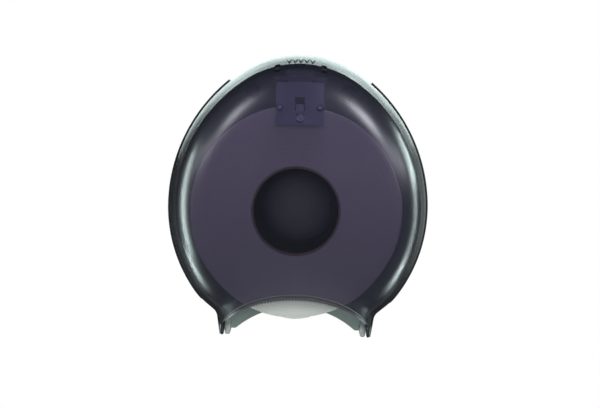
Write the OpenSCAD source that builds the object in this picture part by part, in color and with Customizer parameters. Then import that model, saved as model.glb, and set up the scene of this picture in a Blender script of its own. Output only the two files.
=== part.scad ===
// Wall-hung dispenser for one jumbo toilet roll.
// The wall is the plane y = 0, the front looks along -Y and +Z is up.
// The origin is on the wall, on the axis of the spindle. A depth is a distance out from the wall.

/* [Cover outline] */
// Half the width of the cover at its rear edge, without the flange
half_w = 136; // [132:1:140]
// Height of the crown above the spindle axis
crown_h = 160.5; // [157:0.5:164]
// Radius of the crown
crown_r = 110; // [107:1:113]
// Radius of the lower sides
low_r = 153; // [148:1:158]
// How far below level the lower sides run, as an angle round their centre
low_a = 36; // [34:1:38]
// Radius of the chin between the lower sides and the legs
chin_r = 80; // [76:1:84]
// Angle at which the chin ends
chin_a = 51; // [49:1:53]
// Straight stretch between the chin and the hollow above each leg
flare_len = 9; // [8:0.5:10]
// Radius of the hollow above each leg
flare_r = 12; // [10:0.5:14]
// Lean of the legs towards the middle
leg_a = 9; // [8:0.5:10]
// Drop from the spindle axis to the tips of the legs
foot_drop = 137.5; // [136:0.5:140]

/* [Cover section] */
// Depth of the whole dispenser
depth = 143; // [141:1:150]
// Draft of the side walls
wall_a = 6.4; // [5.8:0.1:6.8]
// Radius between the side walls and the front
corner_r = 38; // [36:1:40]
// Half the angle that the domed front turns through
dome_a = 7; // [6:0.5:8]
// Wall thickness of the cover
cover_t = 2.5; // [2.2:0.1:2.8]
// Drop from the spindle axis to the point that the cover tapers towards
taper_drop = 30; // [28:1:32]
// Gap between the cover's rear edge and the wall
wall_gap = 0.8; // [0.5:0.1:1.2]
// How far the rear flange stands out
flange_w = 2; // [1:0.5:3]
// Thickness of the rear flange
flange_t = 2.5; // [2:0.5:4]
// Where the rear flange starts, as an angle round the centre of the upper sides
flange_a = 50; // [44:1:51]

/* [Arch and tear bar] */
// Width of a leg beside the end of the arch
leg_w = 4.1; // [3.6:0.1:5]
// Height of the arch's curve
arch_high = 36; // [34:1:38]
// Height of the top of the arch above the tips of the legs
arch_rise = 42.7; // [42:0.1:45]
// Height of the tear bar at the middle of the arch
lip_h = 4.6; // [4:0.2:6]
// Height of the tear bar at its ends
lip_end = 1; // [0.6:0.2:1.2]
// Thickness of the tear bar
lip_t = 3; // [2.4:0.2:4]
// How far the tear bar stands proud of the cover
lip_proud = 0.6; // [0.2:0.2:1]
// Half the angle of the arch that the tear bar covers
lip_a = 68; // [60:1:70]
// Gap between the tear bar and the edge of the cover
lip_gap = 0.1; // [0.05:0.05:0.2]
// Number of teeth
tooth_count = 58; // [40:1:64]
// Height of a tooth
tooth_h = 1.5; // [1:0.1:2]

/* [Key slots and grips] */
// Distance of each key slot from the middle
slot_x = 23.5; // [22:0.5:24]
// Width of a key slot
slot_w = 5.4; // [5.2:0.1:6]
// Length of a key slot, front to back
slot_len = 18; // [15:1:19]
// Distance of the middle of a key slot behind the front
slot_back = 36; // [35:0.5:37]
// Number of thumb grips
grip_count = 5; // [3:2:5]
// Distance between thumb grips
grip_pitch = 6; // [6:0.5:7]
// Length of a thumb grip, front to back
grip_len = 22; // [18:1:24]
// Distance of the rear of the thumb grips behind the front
grip_back = 67; // [65:1:71]
// Width of a thumb grip's rib
grip_rib = 1.6; // [1.2:0.2:2]
// Height of a thumb grip
grip_h = 1; // [0.8:0.1:1.2]

/* [Back plate] */
// Thickness of the back plate
plate_t = 3; // [2.6:0.2:3.4]
// Distance of the back plate's edge inside the cover's outline
plate_inset = 7; // [6.8:0.1:7.2]
// Depth of the back plate's rim
rim_depth = 20; // [16:1:20]
// Thickness of the rim
rim_t = 2.2; // [1.8:0.2:2.6]
// Rounding of the back plate's lower corners
plate_round = 4; // [2:0.5:5]
// Radius of the back plate's lower edge
plate_arch_r = 96; // [94:1:98]
// Height of the middle of the back plate's lower edge above the tips of the legs
plate_rise = 30.5; // [29.5:0.5:31.5]
// Thickness of the ribs
rib_t = 2; // [1.6:0.2:2.6]
// Depth of the ribs
rib_depth = 8; // [6:0.5:8]
// Number of ribs round the spindle
rib_count = 12; // [8:4:12]
// Distance of the ends of the ribs inside the cover's widest part
rib_inset = 40; // [38:1:46]
// Distance of each wall screw from the middle
wall_screw_x = 50; // [48:1:52]
// Distance of the upper wall screws below the crown
wall_screw_down = 38.9; // [38.5:0.1:42]
// Distance between the upper and lower wall screws
wall_screw_pitch = 200; // [196:1:202]
// Radius of a wall screw hole
wall_screw_r = 2.6; // [2.2:0.1:3]
// Thickness of the raised ring round a screw hole
ring_t = 5; // [4:0.5:5.5]
// Height of the raised ring above the back plate
ring_h = 2; // [1:0.5:3]

/* [Hinge] */
// Depth of the hinge axis
hinge_depth = 14; // [13:0.5:15]
// Height of the hinge axis above the tips of the legs
hinge_rise = 11.5; // [11:0.1:12]
// Radius of a hinge pin
pin_r = 2.5; // [2:0.1:2.8]
// Clearance round a hinge pin in the cover
pin_play = 0.06; // [0.04:0.02:0.08]
// Clearance round a hinge pin in the back plate
pin_seat = 0.02; // [0.01:0.01:0.03]
// Radius of the hinge boss on the cover
boss_r = 6.5; // [6:0.1:6.8]
// Radius of the hinge ear on the back plate
ear_r = 7; // [6.5:0.1:7]
// Thickness of a hinge ear
ear_t = 6; // [5:0.5:7]
// Length of the hinge boss on the cover
boss_len = 3; // [2.5:0.1:4]
// Gap between a hinge ear and the cover's boss
ear_gap = 0.5; // [0.3:0.1:0.8]

/* [Spindle and hub] */
// Radius of the spindle
spindle_r = 9; // [8:0.5:10]
// Distance of the spindle's front end behind the front
spindle_back = 55; // [52:1:58]
// Radius of the spindle's flange
spindle_flange_r = 30; // [29:1:31]
// Thickness of the spindle's flange
spindle_flange_t = 4; // [3:0.5:5]
// Thickness of the pad under the spindle's flange
pad_t = 2; // [1:0.5:2.5]
// Radius of the circle of spindle screws
spindle_screw_pcr = 22.5; // [21.5:0.5:23.5]
// Number of spindle screws
spindle_screw_count = 4; // [3:1:5]
// Radius of a thread-forming screw
screw_r = 2; // [1.6:0.1:2.2]
// Radius of a screw's head
head_r = 3.8; // [3.4:0.1:4]
// Height of a screw's head
head_h = 2.2; // [1.8:0.1:2.4]
// Clearance round a screw's shank
screw_play = 0.05; // [0.03:0.01:0.08]
// How much smaller the radius of the hub drum is than the core's
hub_play = 5.5; // [4.5:0.5:7]
// Wall thickness of the hub drum
hub_t = 2.5; // [2:0.1:3]
// Distance of the hub drum's front behind the front
hub_back = 45; // [42:1:46]
// How far the hub's rear flange reaches past the core's bore
hub_flange_w = 11; // [9:1:13]
// Thickness of the hub's rear flange
hub_flange_t = 3; // [2.5:0.5:3.5]
// Gap between the ribs and the rear of the hub drum
rib_room = 4; // [3.5:0.5:6]
// Depth of the recess for the hub cap
cap_recess = 3.5; // [3:0.5:4]
// Thickness of the hub cap
cap_t = 2; // [1.6:0.2:2.4]
// Clearance round the hub cap
cap_play = 0.1; // [0.05:0.05:0.2]
// Wall thickness of a bush
bush_t = 3; // [2.5:0.5:3.5]
// Length of a bush
bush_len = 12; // [10:1:14]
// Clearance between a bush and the spindle
bush_play = 0.08; // [0.05:0.01:0.09]
// Wall thickness of the hub's sleeve
sleeve_t = 3; // [2.5:0.5:3.5]
// Thickness of the web between the sleeve and the drum
web_t = 3; // [2.5:0.5:4]
// Thickness of the hub washer
washer_t = 1.5; // [1.2:0.1:2]
// Gap at each end of the hub's sleeve
end_play = 0.3; // [0.2:0.1:0.4]

/* [Paper roll] */
// Inner radius of the cardboard core
core_r = 43; // [42:0.5:44]
// Wall thickness of the core
core_t = 2; // [1.5:0.5:3]
// Distance of the full roll's edge inside the cover's widest part
roll_room = 28.7; // [28.5:0.1:45]
// Distance of the roll's front face behind the front
front_room = 30.2; // [30:0.1:35]
// How far the hanging roll has swung sideways on the hub
swing_a = 20; // [-20:1:20]
// Gap where the core hangs on the hub
hang_gap = 0.3; // [0.2:0.05:0.4]

/* [Latch] */
// Half the width of the latch frame
frame_x = 24; // [23.5:0.5:24.5]
// Distance of the latch frame's upper edge below the crown
frame_down = 36.5; // [36.5:0.5:40]
// Height of the latch frame
frame_high = 43; // [41:1:45]
// Thickness of the latch frame
frame_t = 2.5; // [2:0.1:2.6]
// Distance of the latch frame's rear face behind the front
frame_back = 23.5; // [23.3:0.1:23.6]
// Half the width of the latch slider's stem
stem_x = 12; // [11:0.5:12]
// Thickness of the latch slider's stem
stem_t = 2.7; // [2.4:0.1:2.7]
// Height of the stem's lower end above the latch frame's lower edge
stem_up = 15; // [13:1:16]
// Gap round the sliding stem
slide_gap = 0.3; // [0.2:0.05:0.3]
// Travel of the latch slider
latch_travel = 5; // [4:0.25:5]
// Gap between the latch frame and the slider arm above it
arm_up = 1; // [0.8:0.1:1.4]
// Thickness of the slider arm
arm_t = 4; // [3:0.25:4]
// Half the width of the slider arm
arm_x = 10; // [8:0.5:10]
// Gap between the back plate's rim and the end of the slider arm
arm_gap = 2; // [1.5:0.1:2.5]
// Thickness of the hook's tooth, front to back
tooth_t = 4.5; // [4:0.25:5]
// Half the width of the catch bracket
catch_x = 15; // [14:0.5:16]
// Thickness of the catch bracket
catch_t = 2.5; // [2:0.1:2.5]
// Clearance between the hook and the ledge that it passes
catch_gap = 0.5; // [0.4:0.05:0.6]
// Gap between the locked hook and the ledge in front of it
ledge_play = 0.8; // [0.6:0.1:1]
// Height of the catch bracket's base
catch_high = 22; // [20:1:22]
// Thickness of the detent spring's steel
leaf_t = 0.5; // [0.4:0.1:0.6]

/* [Hidden] */
$fn = 64;
// How far a cut runs past the surface that it opens
over = 1;

// Segments of each stretch of the cover's outline and section
crown_n = 7;
side_n = 9;
low_n = 7;
chin_n = 3;
flare_n = 4;
bottom_n = 4;
wall_n = 3;
corner_n = 8;
dome_n = 4;

function dir(a) = [cos(a), sin(a)];

// Centres of the outline's arcs, each running on smoothly from the last
side_r = (half_w ^ 2 + (crown_h - crown_r) ^ 2 - crown_r ^ 2) / (2 * (half_w - crown_r));
side_c = [half_w - side_r, 0];
crown_c = [0, crown_h - crown_r];
crown_a = atan2(crown_c.y, -side_c.x);
low_c = [half_w - low_r, 0];
chin_c = low_c + (low_r - chin_r) * dir(-low_a);
chin_end = chin_c + chin_r * dir(-chin_a);
flare_start = chin_end - flare_len * [sin(chin_a), cos(chin_a)];
flare_c = flare_start + flare_r * dir(-chin_a);
taper_c = [0, -taper_drop];

// Depths, heights and radii that follow from the outline and the depth
arch_drop = foot_drop - arch_rise;
arch_z = -arch_drop - arch_high;
plate_arch_drop = foot_drop - plate_rise;
hinge_drop = foot_drop - hinge_rise;
slot_depth = depth - slot_back;
grip_depth = depth - grip_back;
frame_depth = depth - frame_back;
frame_top = crown_h - frame_down;
frame_low = frame_top - frame_high;
stem_low = frame_low + stem_up;
arm_low = frame_top + arm_up;
arm_rear = rim_depth + arm_gap;
wall_screw_top = crown_h - wall_screw_down;
rib_reach = half_w - rib_inset;
spindle_end = depth - spindle_back;
hub_front = depth - hub_back;
hub_rear = rib_depth + rib_room;
hub_r = core_r - hub_play;
hub_flange_r = core_r + hub_flange_w;
roll_r = half_w - roll_room;

// The leg's straight edge, at an inset from the outline
function leg_top(e) = flare_c - (flare_r + e) * dir(-leg_a);
function leg_at(e, z) = [leg_top(e).x - (leg_top(e).y - z) * tan(leg_a), z];

// The right flank down to the tip of the leg, at an inset from the outline
function flank(e, foot_z, from_a = crown_a) = concat(
    [for (i = [1:side_n]) side_c + (side_r - e) * dir(from_a * (1 - i / side_n))],
    [for (i = [1:low_n]) low_c + (low_r - e) * dir(-low_a * i / low_n)],
    [for (i = [1:chin_n]) chin_c + (chin_r - e) * dir(-low_a - (chin_a - low_a) * i / chin_n)],
    [for (i = [0:flare_n]) flare_c - (flare_r + e) * dir(-chin_a + (chin_a - leg_a) * i / flare_n)],
    [leg_at(e, foot_z)]);
function crown(e) =
    [for (i = [0:crown_n]) crown_c + (crown_r - e) * dir(90 + (crown_a - 90) * i / crown_n)];
arch_half = leg_at(0, arch_z).x - leg_w;
function mirrored(p) = [for (i = [len(p) - 1:-1:0]) [-p[i].x, p[i].y]];

// The closed outline, clockwise from the crown
function ring(e) =
    let (foot_z = e - foot_drop,
         right = concat(crown(e), flank(e, foot_z)),
         tip = right[len(right) - 1],
         bottom = [for (i = [1:bottom_n - 1]) [tip.x * (1 - 2 * i / bottom_n), tip.y]],
         left = mirrored([for (i = [1:len(right) - 1]) right[i]]))
    concat(right, bottom, left);

// The cover's section: a drafted wall, a corner and a domed front
corner_rad = (half_w - corner_r / cos(wall_a) - (depth - corner_r) * tan(wall_a))
    / (1 - tan(dome_a / 2) * tan(wall_a));
corner_d = depth - corner_r - corner_rad * tan(dome_a / 2);
dome_r = corner_rad / sin(dome_a) + corner_r;
dome_d = depth - dome_r;
function wall_rad(d, e) = corner_rad + (corner_r - e) / cos(wall_a) + (corner_d - d) * tan(wall_a);
function section(e) = concat(
    [for (i = [0:wall_n - 1])
        let (d = wall_gap + (corner_d + (corner_r - e) * sin(wall_a) - wall_gap) * i / wall_n)
        [wall_rad(d, e), d]],
    [for (i = [0:corner_n])
        [corner_rad, corner_d] + (corner_r - e) * dir(wall_a + (90 - dome_a - wall_a) * i / corner_n)],
    [for (i = [1:dome_n - 1])
        [0, dome_d] + (dome_r - e) * dir(90 - dome_a + dome_a * i / dome_n)]);

// Depth of the cover's surface at an inset and at a given share of its half width
function skin_depth(rad, e) =
    rad <= (dome_r - e) * sin(dome_a) ? dome_d + sqrt((dome_r - e) ^ 2 - rad ^ 2) :
    rad <= corner_rad + (corner_r - e) * cos(wall_a) ?
        corner_d + sqrt((corner_r - e) ^ 2 - (rad - corner_rad) ^ 2) :
        corner_d - (rad - corner_rad - (corner_r - e) / cos(wall_a)) / tan(wall_a);

// Share of the half width at a point of the upper half, and at a point near the legs
function reach_arc(u, c, r) = let (m = c - taper_c, b = m * u) b + sqrt(b * b - m * m + r * r);
function upper_rad(x, z) =
    let (q = [abs(x), z] - taper_c, u = q / norm(q),
         k = reach_arc(u, crown_c, crown_r),
         hit = taper_c + k * u - crown_c,
         on_crown = atan2(hit.y, hit.x) >= crown_a)
    half_w * norm(q) / (on_crown ? k : reach_arc(u, side_c, side_r));
function lower_rad(x, z) =
    let (q = [abs(x), z] - taper_c, u = q / norm(q),
         leg = leg_at(0, taper_c.y).x / (u.x - u.y * tan(leg_a)))
    half_w * max(-q.y / (foot_drop - taper_drop), norm(q) / leg);
// Height of the cover's skin at the crown, at a given depth and distance from the middle
function crown_skin(x, d) =
    let (rad = d < corner_d + corner_r * sin(wall_a) ? wall_rad(d, 0) :
             corner_rad + sqrt(corner_r ^ 2 - (d - corner_d) ^ 2),
         k = rad / half_w)
    taper_c.y + k * (crown_c.y + sqrt(crown_r ^ 2 - (x / k) ^ 2) - taper_c.y);

// A flat shape drawn in x and z, between two depths
module slab(d0, d1) {
    translate([0, -d0, 0])
        rotate([90, 0, 0])
            linear_extrude(d1 - d0)
                children();
}
// A round bar along the depth
module post(x, z, d0, d1, r) {
    translate([x, -d0, z])
        rotate([90, 0, 0])
            cylinder(h = d1 - d0, r = r);
}
// A tube along the depth
module tube(d0, d1, r_in, r_out) {
    difference() {
        post(0, 0, d0, d1, r_out);
        post(0, 0, d0 - over, d1 + over, r_in);
    }
}
// A round bar along x
module bar(x0, x1, d, z, r) {
    translate([x0, -d, z])
        rotate([0, 90, 0])
            cylinder(h = x1 - x0, r = r);
}
// A box between two depths
module block(x0, x1, d0, d1, z0, z1) {
    translate([x0, -d1, z0])
        cube([x1 - x0, d1 - d0, z1 - z0]);
}
// A shape drawn in depth and height, between two values of x
module side_slab(x0, x1, points) {
    translate([x0, 0, 0])
        rotate([90, 0, 90])
            linear_extrude(x1 - x0)
                polygon([for (p = points) [-p.x, p.y]]);
}
module both_sides() {
    children();
    mirror([1, 0, 0])
        children();
}

// The solid inside the arch, from the wall to past the front
module arch_solid(a, b) {
    n = 48;
    slab(-over, depth + over)
        polygon(concat(
            [for (i = [0:n]) [a * cos(180 * i / n), arch_z + b * sin(180 * i / n)]],
            [[-a, -foot_drop - over], [a, -foot_drop - over]]));
}

// The closed shell between the outer and the inner surface
module cover_shell() {
    outer_rows = section(0);
    inner_rows = section(cover_t);
    outer_ring = ring(0);
    inner_ring = ring(cover_t);
    n = len(outer_ring);
    m = len(outer_rows);
    outer = [for (row = outer_rows, p = outer_ring)
        let (q = taper_c + (p - taper_c) * row.x / half_w) [q.x, -row.y, q.y]];
    inner = [for (row = inner_rows, p = inner_ring)
        let (q = taper_c + (p - taper_c) * row.x / (half_w - cover_t)) [q.x, -row.y, q.y]];
    tops = [[taper_c.x, -depth, taper_c.y], [taper_c.x, cover_t - depth, taper_c.y]];
    s = n * m;
    skin = [for (j = [0:m - 2], i = [0:n - 1]) let (a = j * n + i, b = j * n + (i + 1) % n)
        [a, b, b + n, a + n]];
    points = concat(outer, inner, tops);
    faces = concat(
        [for (f = skin) [f[0], f[1], f[2]]],
        [for (f = skin) [f[0], f[2], f[3]]],
        [for (f = skin) [s + f[0], s + f[2], s + f[1]]],
        [for (f = skin) [s + f[0], s + f[3], s + f[2]]],
        [for (i = [0:n - 1]) [i, s + (i + 1) % n, (i + 1) % n]],
        [for (i = [0:n - 1]) [i, s + i, s + (i + 1) % n]],
        [for (i = [0:n - 1]) [s - n + i, s - n + (i + 1) % n, 2 * s]],
        [for (i = [0:n - 1]) [2 * s - n + i, 2 * s + 1, 2 * s - n + (i + 1) % n]]);
    polyhedron(points, faces, convexity = 6);
}

// The flange round the rear edge, from below the crown down to the legs
module rear_flange() {
    outside = flank(-flange_w, -foot_drop, flange_a);
    inside = flank(cover_t / 2, -foot_drop, flange_a);
    both_sides()
        slab(wall_gap, wall_gap + flange_t)
            polygon(concat(
                [side_c + (side_r + flange_w) * dir(flange_a)], outside,
                [for (i = [len(inside) - 1:-1:0]) inside[i]],
                [side_c + (side_r - cover_t / 2) * dir(flange_a)]));
}

// Distance from the middle of the leg's outer face, at the hinge
hinge_k = wall_rad(hinge_depth, 0) / half_w;
hinge_skin = hinge_k * leg_at(0, taper_c.y + (taper_drop - hinge_drop) / hinge_k).x;
boss_out = hinge_skin - cover_t / 2;
boss_in = boss_out - boss_len;
ear_x = boss_in - ear_gap;
pin_out = boss_out - 0.4;
pin_in = ear_x - ear_t - 1;
pin_room = 3;

// Screw posts for the latch frame
frame_screw_x = frame_x - head_r - 0.2;
frame_screw_z = (frame_low + frame_top) / 2 - head_r - 0.2;
frame_front = frame_depth + frame_t;
frame_post_r = head_r + 0.2;
frame_post_end = skin_depth(upper_rad(frame_screw_x, frame_screw_z + frame_post_r), cover_t / 2);
screw_len = 9;
tip_gap = 0.5;
grip_gap = 0.6;

module thumb_grip(x) {
    d = grip_depth + grip_len / 2;
    slope = atan2(crown_skin(x, grip_depth) - crown_skin(x, grip_depth + grip_len), grip_len);
    side = atan2(crown_skin(x + 1, d) - crown_skin(x - 1, d), 2);
    w = (grip_pitch - grip_gap) / 2;
    translate([x, -d, crown_skin(x, d) - grip_h])
        rotate([slope, -side, 0])
            linear_extrude(2 * grip_h)
                polygon([[-w, grip_len / 2], [0, grip_rib - grip_len / 2], [w, grip_len / 2],
                    [w, grip_len / 2 - grip_rib], [0, -grip_len / 2], [-w, grip_len / 2 - grip_rib]]);
}

module cover() {
    heel = hinge_depth - wall_gap;
    color([0.24, 0.23, 0.30, 0.55])
    difference() {
        union() {
            difference() {
                cover_shell();
                arch_solid(arch_half + lip_end, arch_high + lip_h);
            }
            rear_flange();
            both_sides()
                bar(boss_in, boss_out, hinge_depth, -hinge_drop, boss_r);
            both_sides()
                post(frame_screw_x, frame_screw_z, frame_front, frame_post_end, frame_post_r);
            for (i = [0:grip_count - 1])
                thumb_grip((i - (grip_count - 1) / 2) * grip_pitch);
        }
        both_sides()
            bar(boss_in - over, pin_out + ear_gap, hinge_depth, -hinge_drop, pin_r + pin_play);
        both_sides()
            post(frame_screw_x, frame_screw_z, frame_front - over, frame_front + screw_len,
                screw_r + screw_play);
        both_sides()
            block(slot_x - slot_w / 2, slot_x + slot_w / 2, slot_depth - slot_len / 2,
                slot_depth + slot_len / 2, frame_top, crown_h);
        // The heels of the legs are round, so that they clear the wall as the cover swings
        difference() {
            block(-half_w, half_w, -over, hinge_depth, -foot_drop - over, -hinge_drop);
            bar(-half_w, half_w, hinge_depth, -hinge_drop, heel);
        }
    }
}

// A point of the arch: how far round, and how far out from the teeth towards the cover
function arch_point(a, k) =
    [(arch_half + k * lip_end) * sin(a), arch_z + (arch_high + k * lip_h) * cos(a)];
module tear_bar() {
    n = 2 * tooth_count;
    stations = [for (i = [0:n]) lip_a * (2 * i / n - 1)];
    points = [for (i = [0:n])
        let (a = stations[i],
             tooth = i % 2 == 0 ? 0 : tooth_h / lip_h,
             low = arch_point(a, tooth),
             high = arch_point(a, 1 - lip_gap / lip_h),
             low_d = skin_depth(lower_rad(low.x, low.y), 0) + lip_proud,
             high_d = skin_depth(lower_rad(high.x, high.y), 0) + lip_proud)
        each [[low.x, -low_d, low.y], [high.x, -high_d, high.y],
              [high.x, lip_t - high_d, high.y], [low.x, lip_t - low_d, low.y]]];
    faces = concat(
        [for (i = [0:n - 1], k = [0:3]) let (a = 4 * i + k, b = 4 * i + (k + 1) % 4) [a, b, b + 4]],
        [for (i = [0:n - 1], k = [0:3]) let (a = 4 * i + k, b = 4 * i + (k + 1) % 4) [a, b + 4, a + 4]],
        [[2, 1, 0], [3, 2, 0], [4 * n, 4 * n + 1, 4 * n + 2], [4 * n, 4 * n + 2, 4 * n + 3]]);
    color([0.42, 0.44, 0.47])
        polyhedron(points, faces, convexity = 10);
}

module plate_outline() {
    offset(r = plate_round)
        offset(delta = -plate_round)
            difference() {
                polygon(ring(plate_inset));
                translate([0, -plate_arch_drop - plate_arch_r])
                    circle(r = plate_arch_r, $fn = 180);
            }
}

module hinge_ear() {
    block(ear_x - ear_t, ear_x, plate_t / 2, hinge_depth, -hinge_drop - ear_r, ear_r - hinge_drop);
    bar(ear_x - ear_t, ear_x, hinge_depth, -hinge_drop, ear_r);
}

pad_front = plate_t + pad_t;
pad_r = spindle_flange_r + 2;
ring_r = wall_screw_r + ring_t;
rim_low = boss_r + 2 - hinge_drop;
// Depth at which the pilot holes in the back plate start
pilot_floor = 1;
wall_screw_low = wall_screw_top - wall_screw_pitch;
gusset_t = 2;
catch_screw_x = catch_x - gusset_t - head_r - 1;
arm_top = arm_low + arm_t;
hook_top = arm_top + latch_travel + catch_gap + catch_gap;
ledge_low = hook_top + catch_gap;
shelf_low = hook_top + latch_travel + catch_gap;
catch_low = shelf_low - catch_high;
catch_screw_z = catch_low + head_r + 1;

module back_plate() {
    color([0.62, 0.68, 0.66])
    difference() {
        union() {
            slab(0, plate_t)
                plate_outline();
            difference() {
                slab(plate_t / 2, rim_depth)
                    difference() {
                        polygon(ring(plate_inset));
                        polygon(ring(plate_inset + rim_t));
                    }
                block(-half_w, half_w, -over, rim_depth + over, -foot_drop, rim_low);
            }
            post(0, 0, plate_t / 2, pad_front, pad_r);
            for (i = [0:rib_count - 1])
                rotate([0, (i + 0.5) * 360 / rib_count, 0])
                    block(-rib_t / 2, rib_t / 2, plate_t / 2, rib_depth, spindle_flange_r, rib_reach);
            both_sides()
                hinge_ear();
            for (z = [wall_screw_top, wall_screw_low])
                both_sides()
                    post(wall_screw_x, z, plate_t / 2, plate_t + ring_h, ring_r);
        }
        for (z = [wall_screw_top, wall_screw_low])
            both_sides()
                post(wall_screw_x, z, -over, rib_depth + over, wall_screw_r);
        for (i = [0:spindle_screw_count - 1])
            rotate([0, i * 360 / spindle_screw_count, 0])
                post(0, spindle_screw_pcr, pilot_floor, pad_front + over, screw_r + screw_play);
        both_sides()
            post(catch_screw_x, catch_screw_z, pilot_floor, plate_t + over, screw_r + screw_play);
        both_sides()
            bar(pin_in - pin_room, ear_x + over, hinge_depth, -hinge_drop, pin_r + pin_seat);
    }
}

flange_front = pad_front + spindle_flange_t;
sleeve_rear = flange_front + end_play;
sleeve_front = spindle_end - end_play;
sleeve_r = spindle_r + bush_play + bush_t;
tap_len = 14;

module spindle() {
    color([0.20, 0.20, 0.22])
    difference() {
        union() {
            post(0, 0, pad_front, flange_front, spindle_flange_r);
            post(0, 0, pad_front, spindle_end, spindle_r);
        }
        for (i = [0:spindle_screw_count - 1])
            rotate([0, i * 360 / spindle_screw_count, 0])
                post(0, spindle_screw_pcr, pad_front - over, flange_front + over, screw_r + screw_play);
        post(0, 0, spindle_end - tap_len, spindle_end + over, screw_r + screw_play);
    }
}

// A pan-head screw along the depth, with a cross slot in its head
cross_w = 0.8;
module pan_screw(x, z, seat, len, out) {
    side = out ? 1 : -1;
    translate([x, -seat, z])
        rotate([90 * side, 0, 0])
            difference() {
                union() {
                    translate([0, 0, -len])
                        cylinder(h = len, r = screw_r);
                    cylinder(h = head_h, r1 = head_r, r2 = head_r * 0.8);
                }
                for (a = [0, 90])
                    rotate([0, 0, a])
                        translate([-head_r / 2, -cross_w / 2, head_h / 2])
                            cube([head_r, cross_w, head_h]);
            }
}

module spindle_screws() {
    color([0.75, 0.75, 0.77])
    for (i = [0:spindle_screw_count - 1])
        rotate([0, i * 360 / spindle_screw_count, 0])
            pan_screw(0, spindle_screw_pcr, flange_front, flange_front - pilot_floor - tip_gap, true);
}

hub_flange_rear = rim_depth + ear_gap;
hub_flange_front = hub_flange_rear + hub_flange_t;
web_d = (sleeve_rear + sleeve_front - web_t) / 2;
cap_seat = hub_front - cap_recess;
cap_r = hub_r - hub_t - cap_play;
cap_ledge = 2;

module hub_drum() {
    fillet = hub_t / 2;
    color([0.10, 0.10, 0.11])
    union() {
        rotate([90, 0, 0])
            rotate_extrude($fn = 96)
                polygon([[hub_r - hub_t, hub_rear], [hub_r, hub_rear], [hub_r, hub_flange_rear],
                    [hub_flange_r, hub_flange_rear], [hub_flange_r, hub_flange_front],
                    [hub_r, hub_flange_front], [hub_r, hub_front - fillet],
                    [hub_r - fillet, hub_front], [hub_r - hub_t, hub_front],
                    [hub_r - hub_t, cap_seat], [hub_r - hub_t - cap_ledge, cap_seat],
                    [hub_r - hub_t - cap_ledge, cap_seat - cap_ledge],
                    [hub_r - hub_t, cap_seat - 2 * cap_ledge]]);
        tube(sleeve_rear, sleeve_front, sleeve_r, sleeve_r + sleeve_t);
        tube(web_d, web_d + web_t, sleeve_r + sleeve_t / 2, hub_r - hub_t / 2);
    }
}
module hub_cap() {
    color([0.16, 0.16, 0.17])
        post(0, 0, cap_seat, cap_seat + cap_t, cap_r);
}
bush_seat = 0.02;
module bush(d) {
    color([0.85, 0.85, 0.82])
        tube(d, d + bush_len, spindle_r + bush_play, sleeve_r - bush_seat);
}
module hub_bush_rear() {
    bush(sleeve_rear);
}
module hub_bush_front() {
    bush(sleeve_front - bush_len);
}
module hub_washer() {
    color([0.7, 0.7, 0.72])
        tube(spindle_end, spindle_end + washer_t, screw_r + screw_play, sleeve_r + sleeve_t / 2);
}
module hub_screw() {
    color([0.75, 0.75, 0.77])
        pan_screw(0, 0, spindle_end + washer_t, tap_len - tip_gap, true);
}

roll_off = core_r - hub_r - hang_gap;
roll_x = -roll_off * sin(swing_a);
roll_z = -roll_off * cos(swing_a);
roll_rear = hub_flange_front + hang_gap;
roll_front = depth - front_room;
paper_gap = 0.05;
module roll_core() {
    color([0.62, 0.47, 0.34])
        translate([roll_x, 0, roll_z])
            tube(roll_rear, roll_front, core_r, core_r + core_t, $fn = 96);
}
module paper_roll() {
    color([0.93, 0.94, 0.93])
        translate([roll_x, 0, roll_z])
            tube(roll_rear, roll_front, core_r + core_t + paper_gap, roll_r, $fn = 128);
}

module hinge_pin() {
    color([0.75, 0.75, 0.77])
        bar(pin_in, pin_out, hinge_depth, -hinge_drop, pin_r);
}
module hinge_pin_left() {
    mirror([1, 0, 0])
        hinge_pin();
}
module hinge_pin_right() {
    hinge_pin();
}

// The stem slides behind the frame, held by two rails with lips
stem_front = frame_depth - slide_gap;
stem_rear = stem_front - stem_t;
keeper_front = stem_rear - slide_gap;
keeper_t = 1.6;
keeper_w = 2.2;
rail_rear = keeper_front - keeper_t;
rail_w = 3.6;
rail_x = stem_x + slide_gap;
rail_low = frame_low + 5;
rail_top = rail_low + 26;
edge_t = 2;
edge_front = frame_front + 3;
edge_high = 12;
detent_z = frame_low + edge_t + head_r + 1;
window_x = 5;
window_low = detent_z + head_r + 1.4;
window_top = window_low + 16;

module latch_frame() {
    color([0.24, 0.23, 0.30, 0.75])
    difference() {
        union() {
            block(-frame_x, frame_x, frame_depth, frame_front, frame_low, frame_top);
            both_sides()
                block(rail_x, rail_x + rail_w, rail_rear, frame_front - over, rail_low, rail_top);
            both_sides()
                block(rail_x - keeper_w, rail_x + rail_w, rail_rear, keeper_front, rail_low, rail_top);
            both_sides()
                block(frame_x - edge_t, frame_x, frame_depth, edge_front, frame_low, frame_low + edge_high);
            block(-frame_x, frame_x, frame_depth, edge_front, frame_low, frame_low + edge_t);
        }
        block(-window_x, window_x, frame_depth - over, frame_front + over, window_low, window_top);
        both_sides()
            post(frame_screw_x, frame_screw_z, frame_depth - over, frame_front + over,
                screw_r + screw_play);
        post(0, detent_z, frame_depth - over, frame_front + over, screw_r + screw_play);
    }
}
module latch_frame_screws() {
    color([0.75, 0.75, 0.77])
    both_sides()
        pan_screw(frame_screw_x, frame_screw_z, frame_depth, frame_t + screw_len - tip_gap, false);
}

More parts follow.
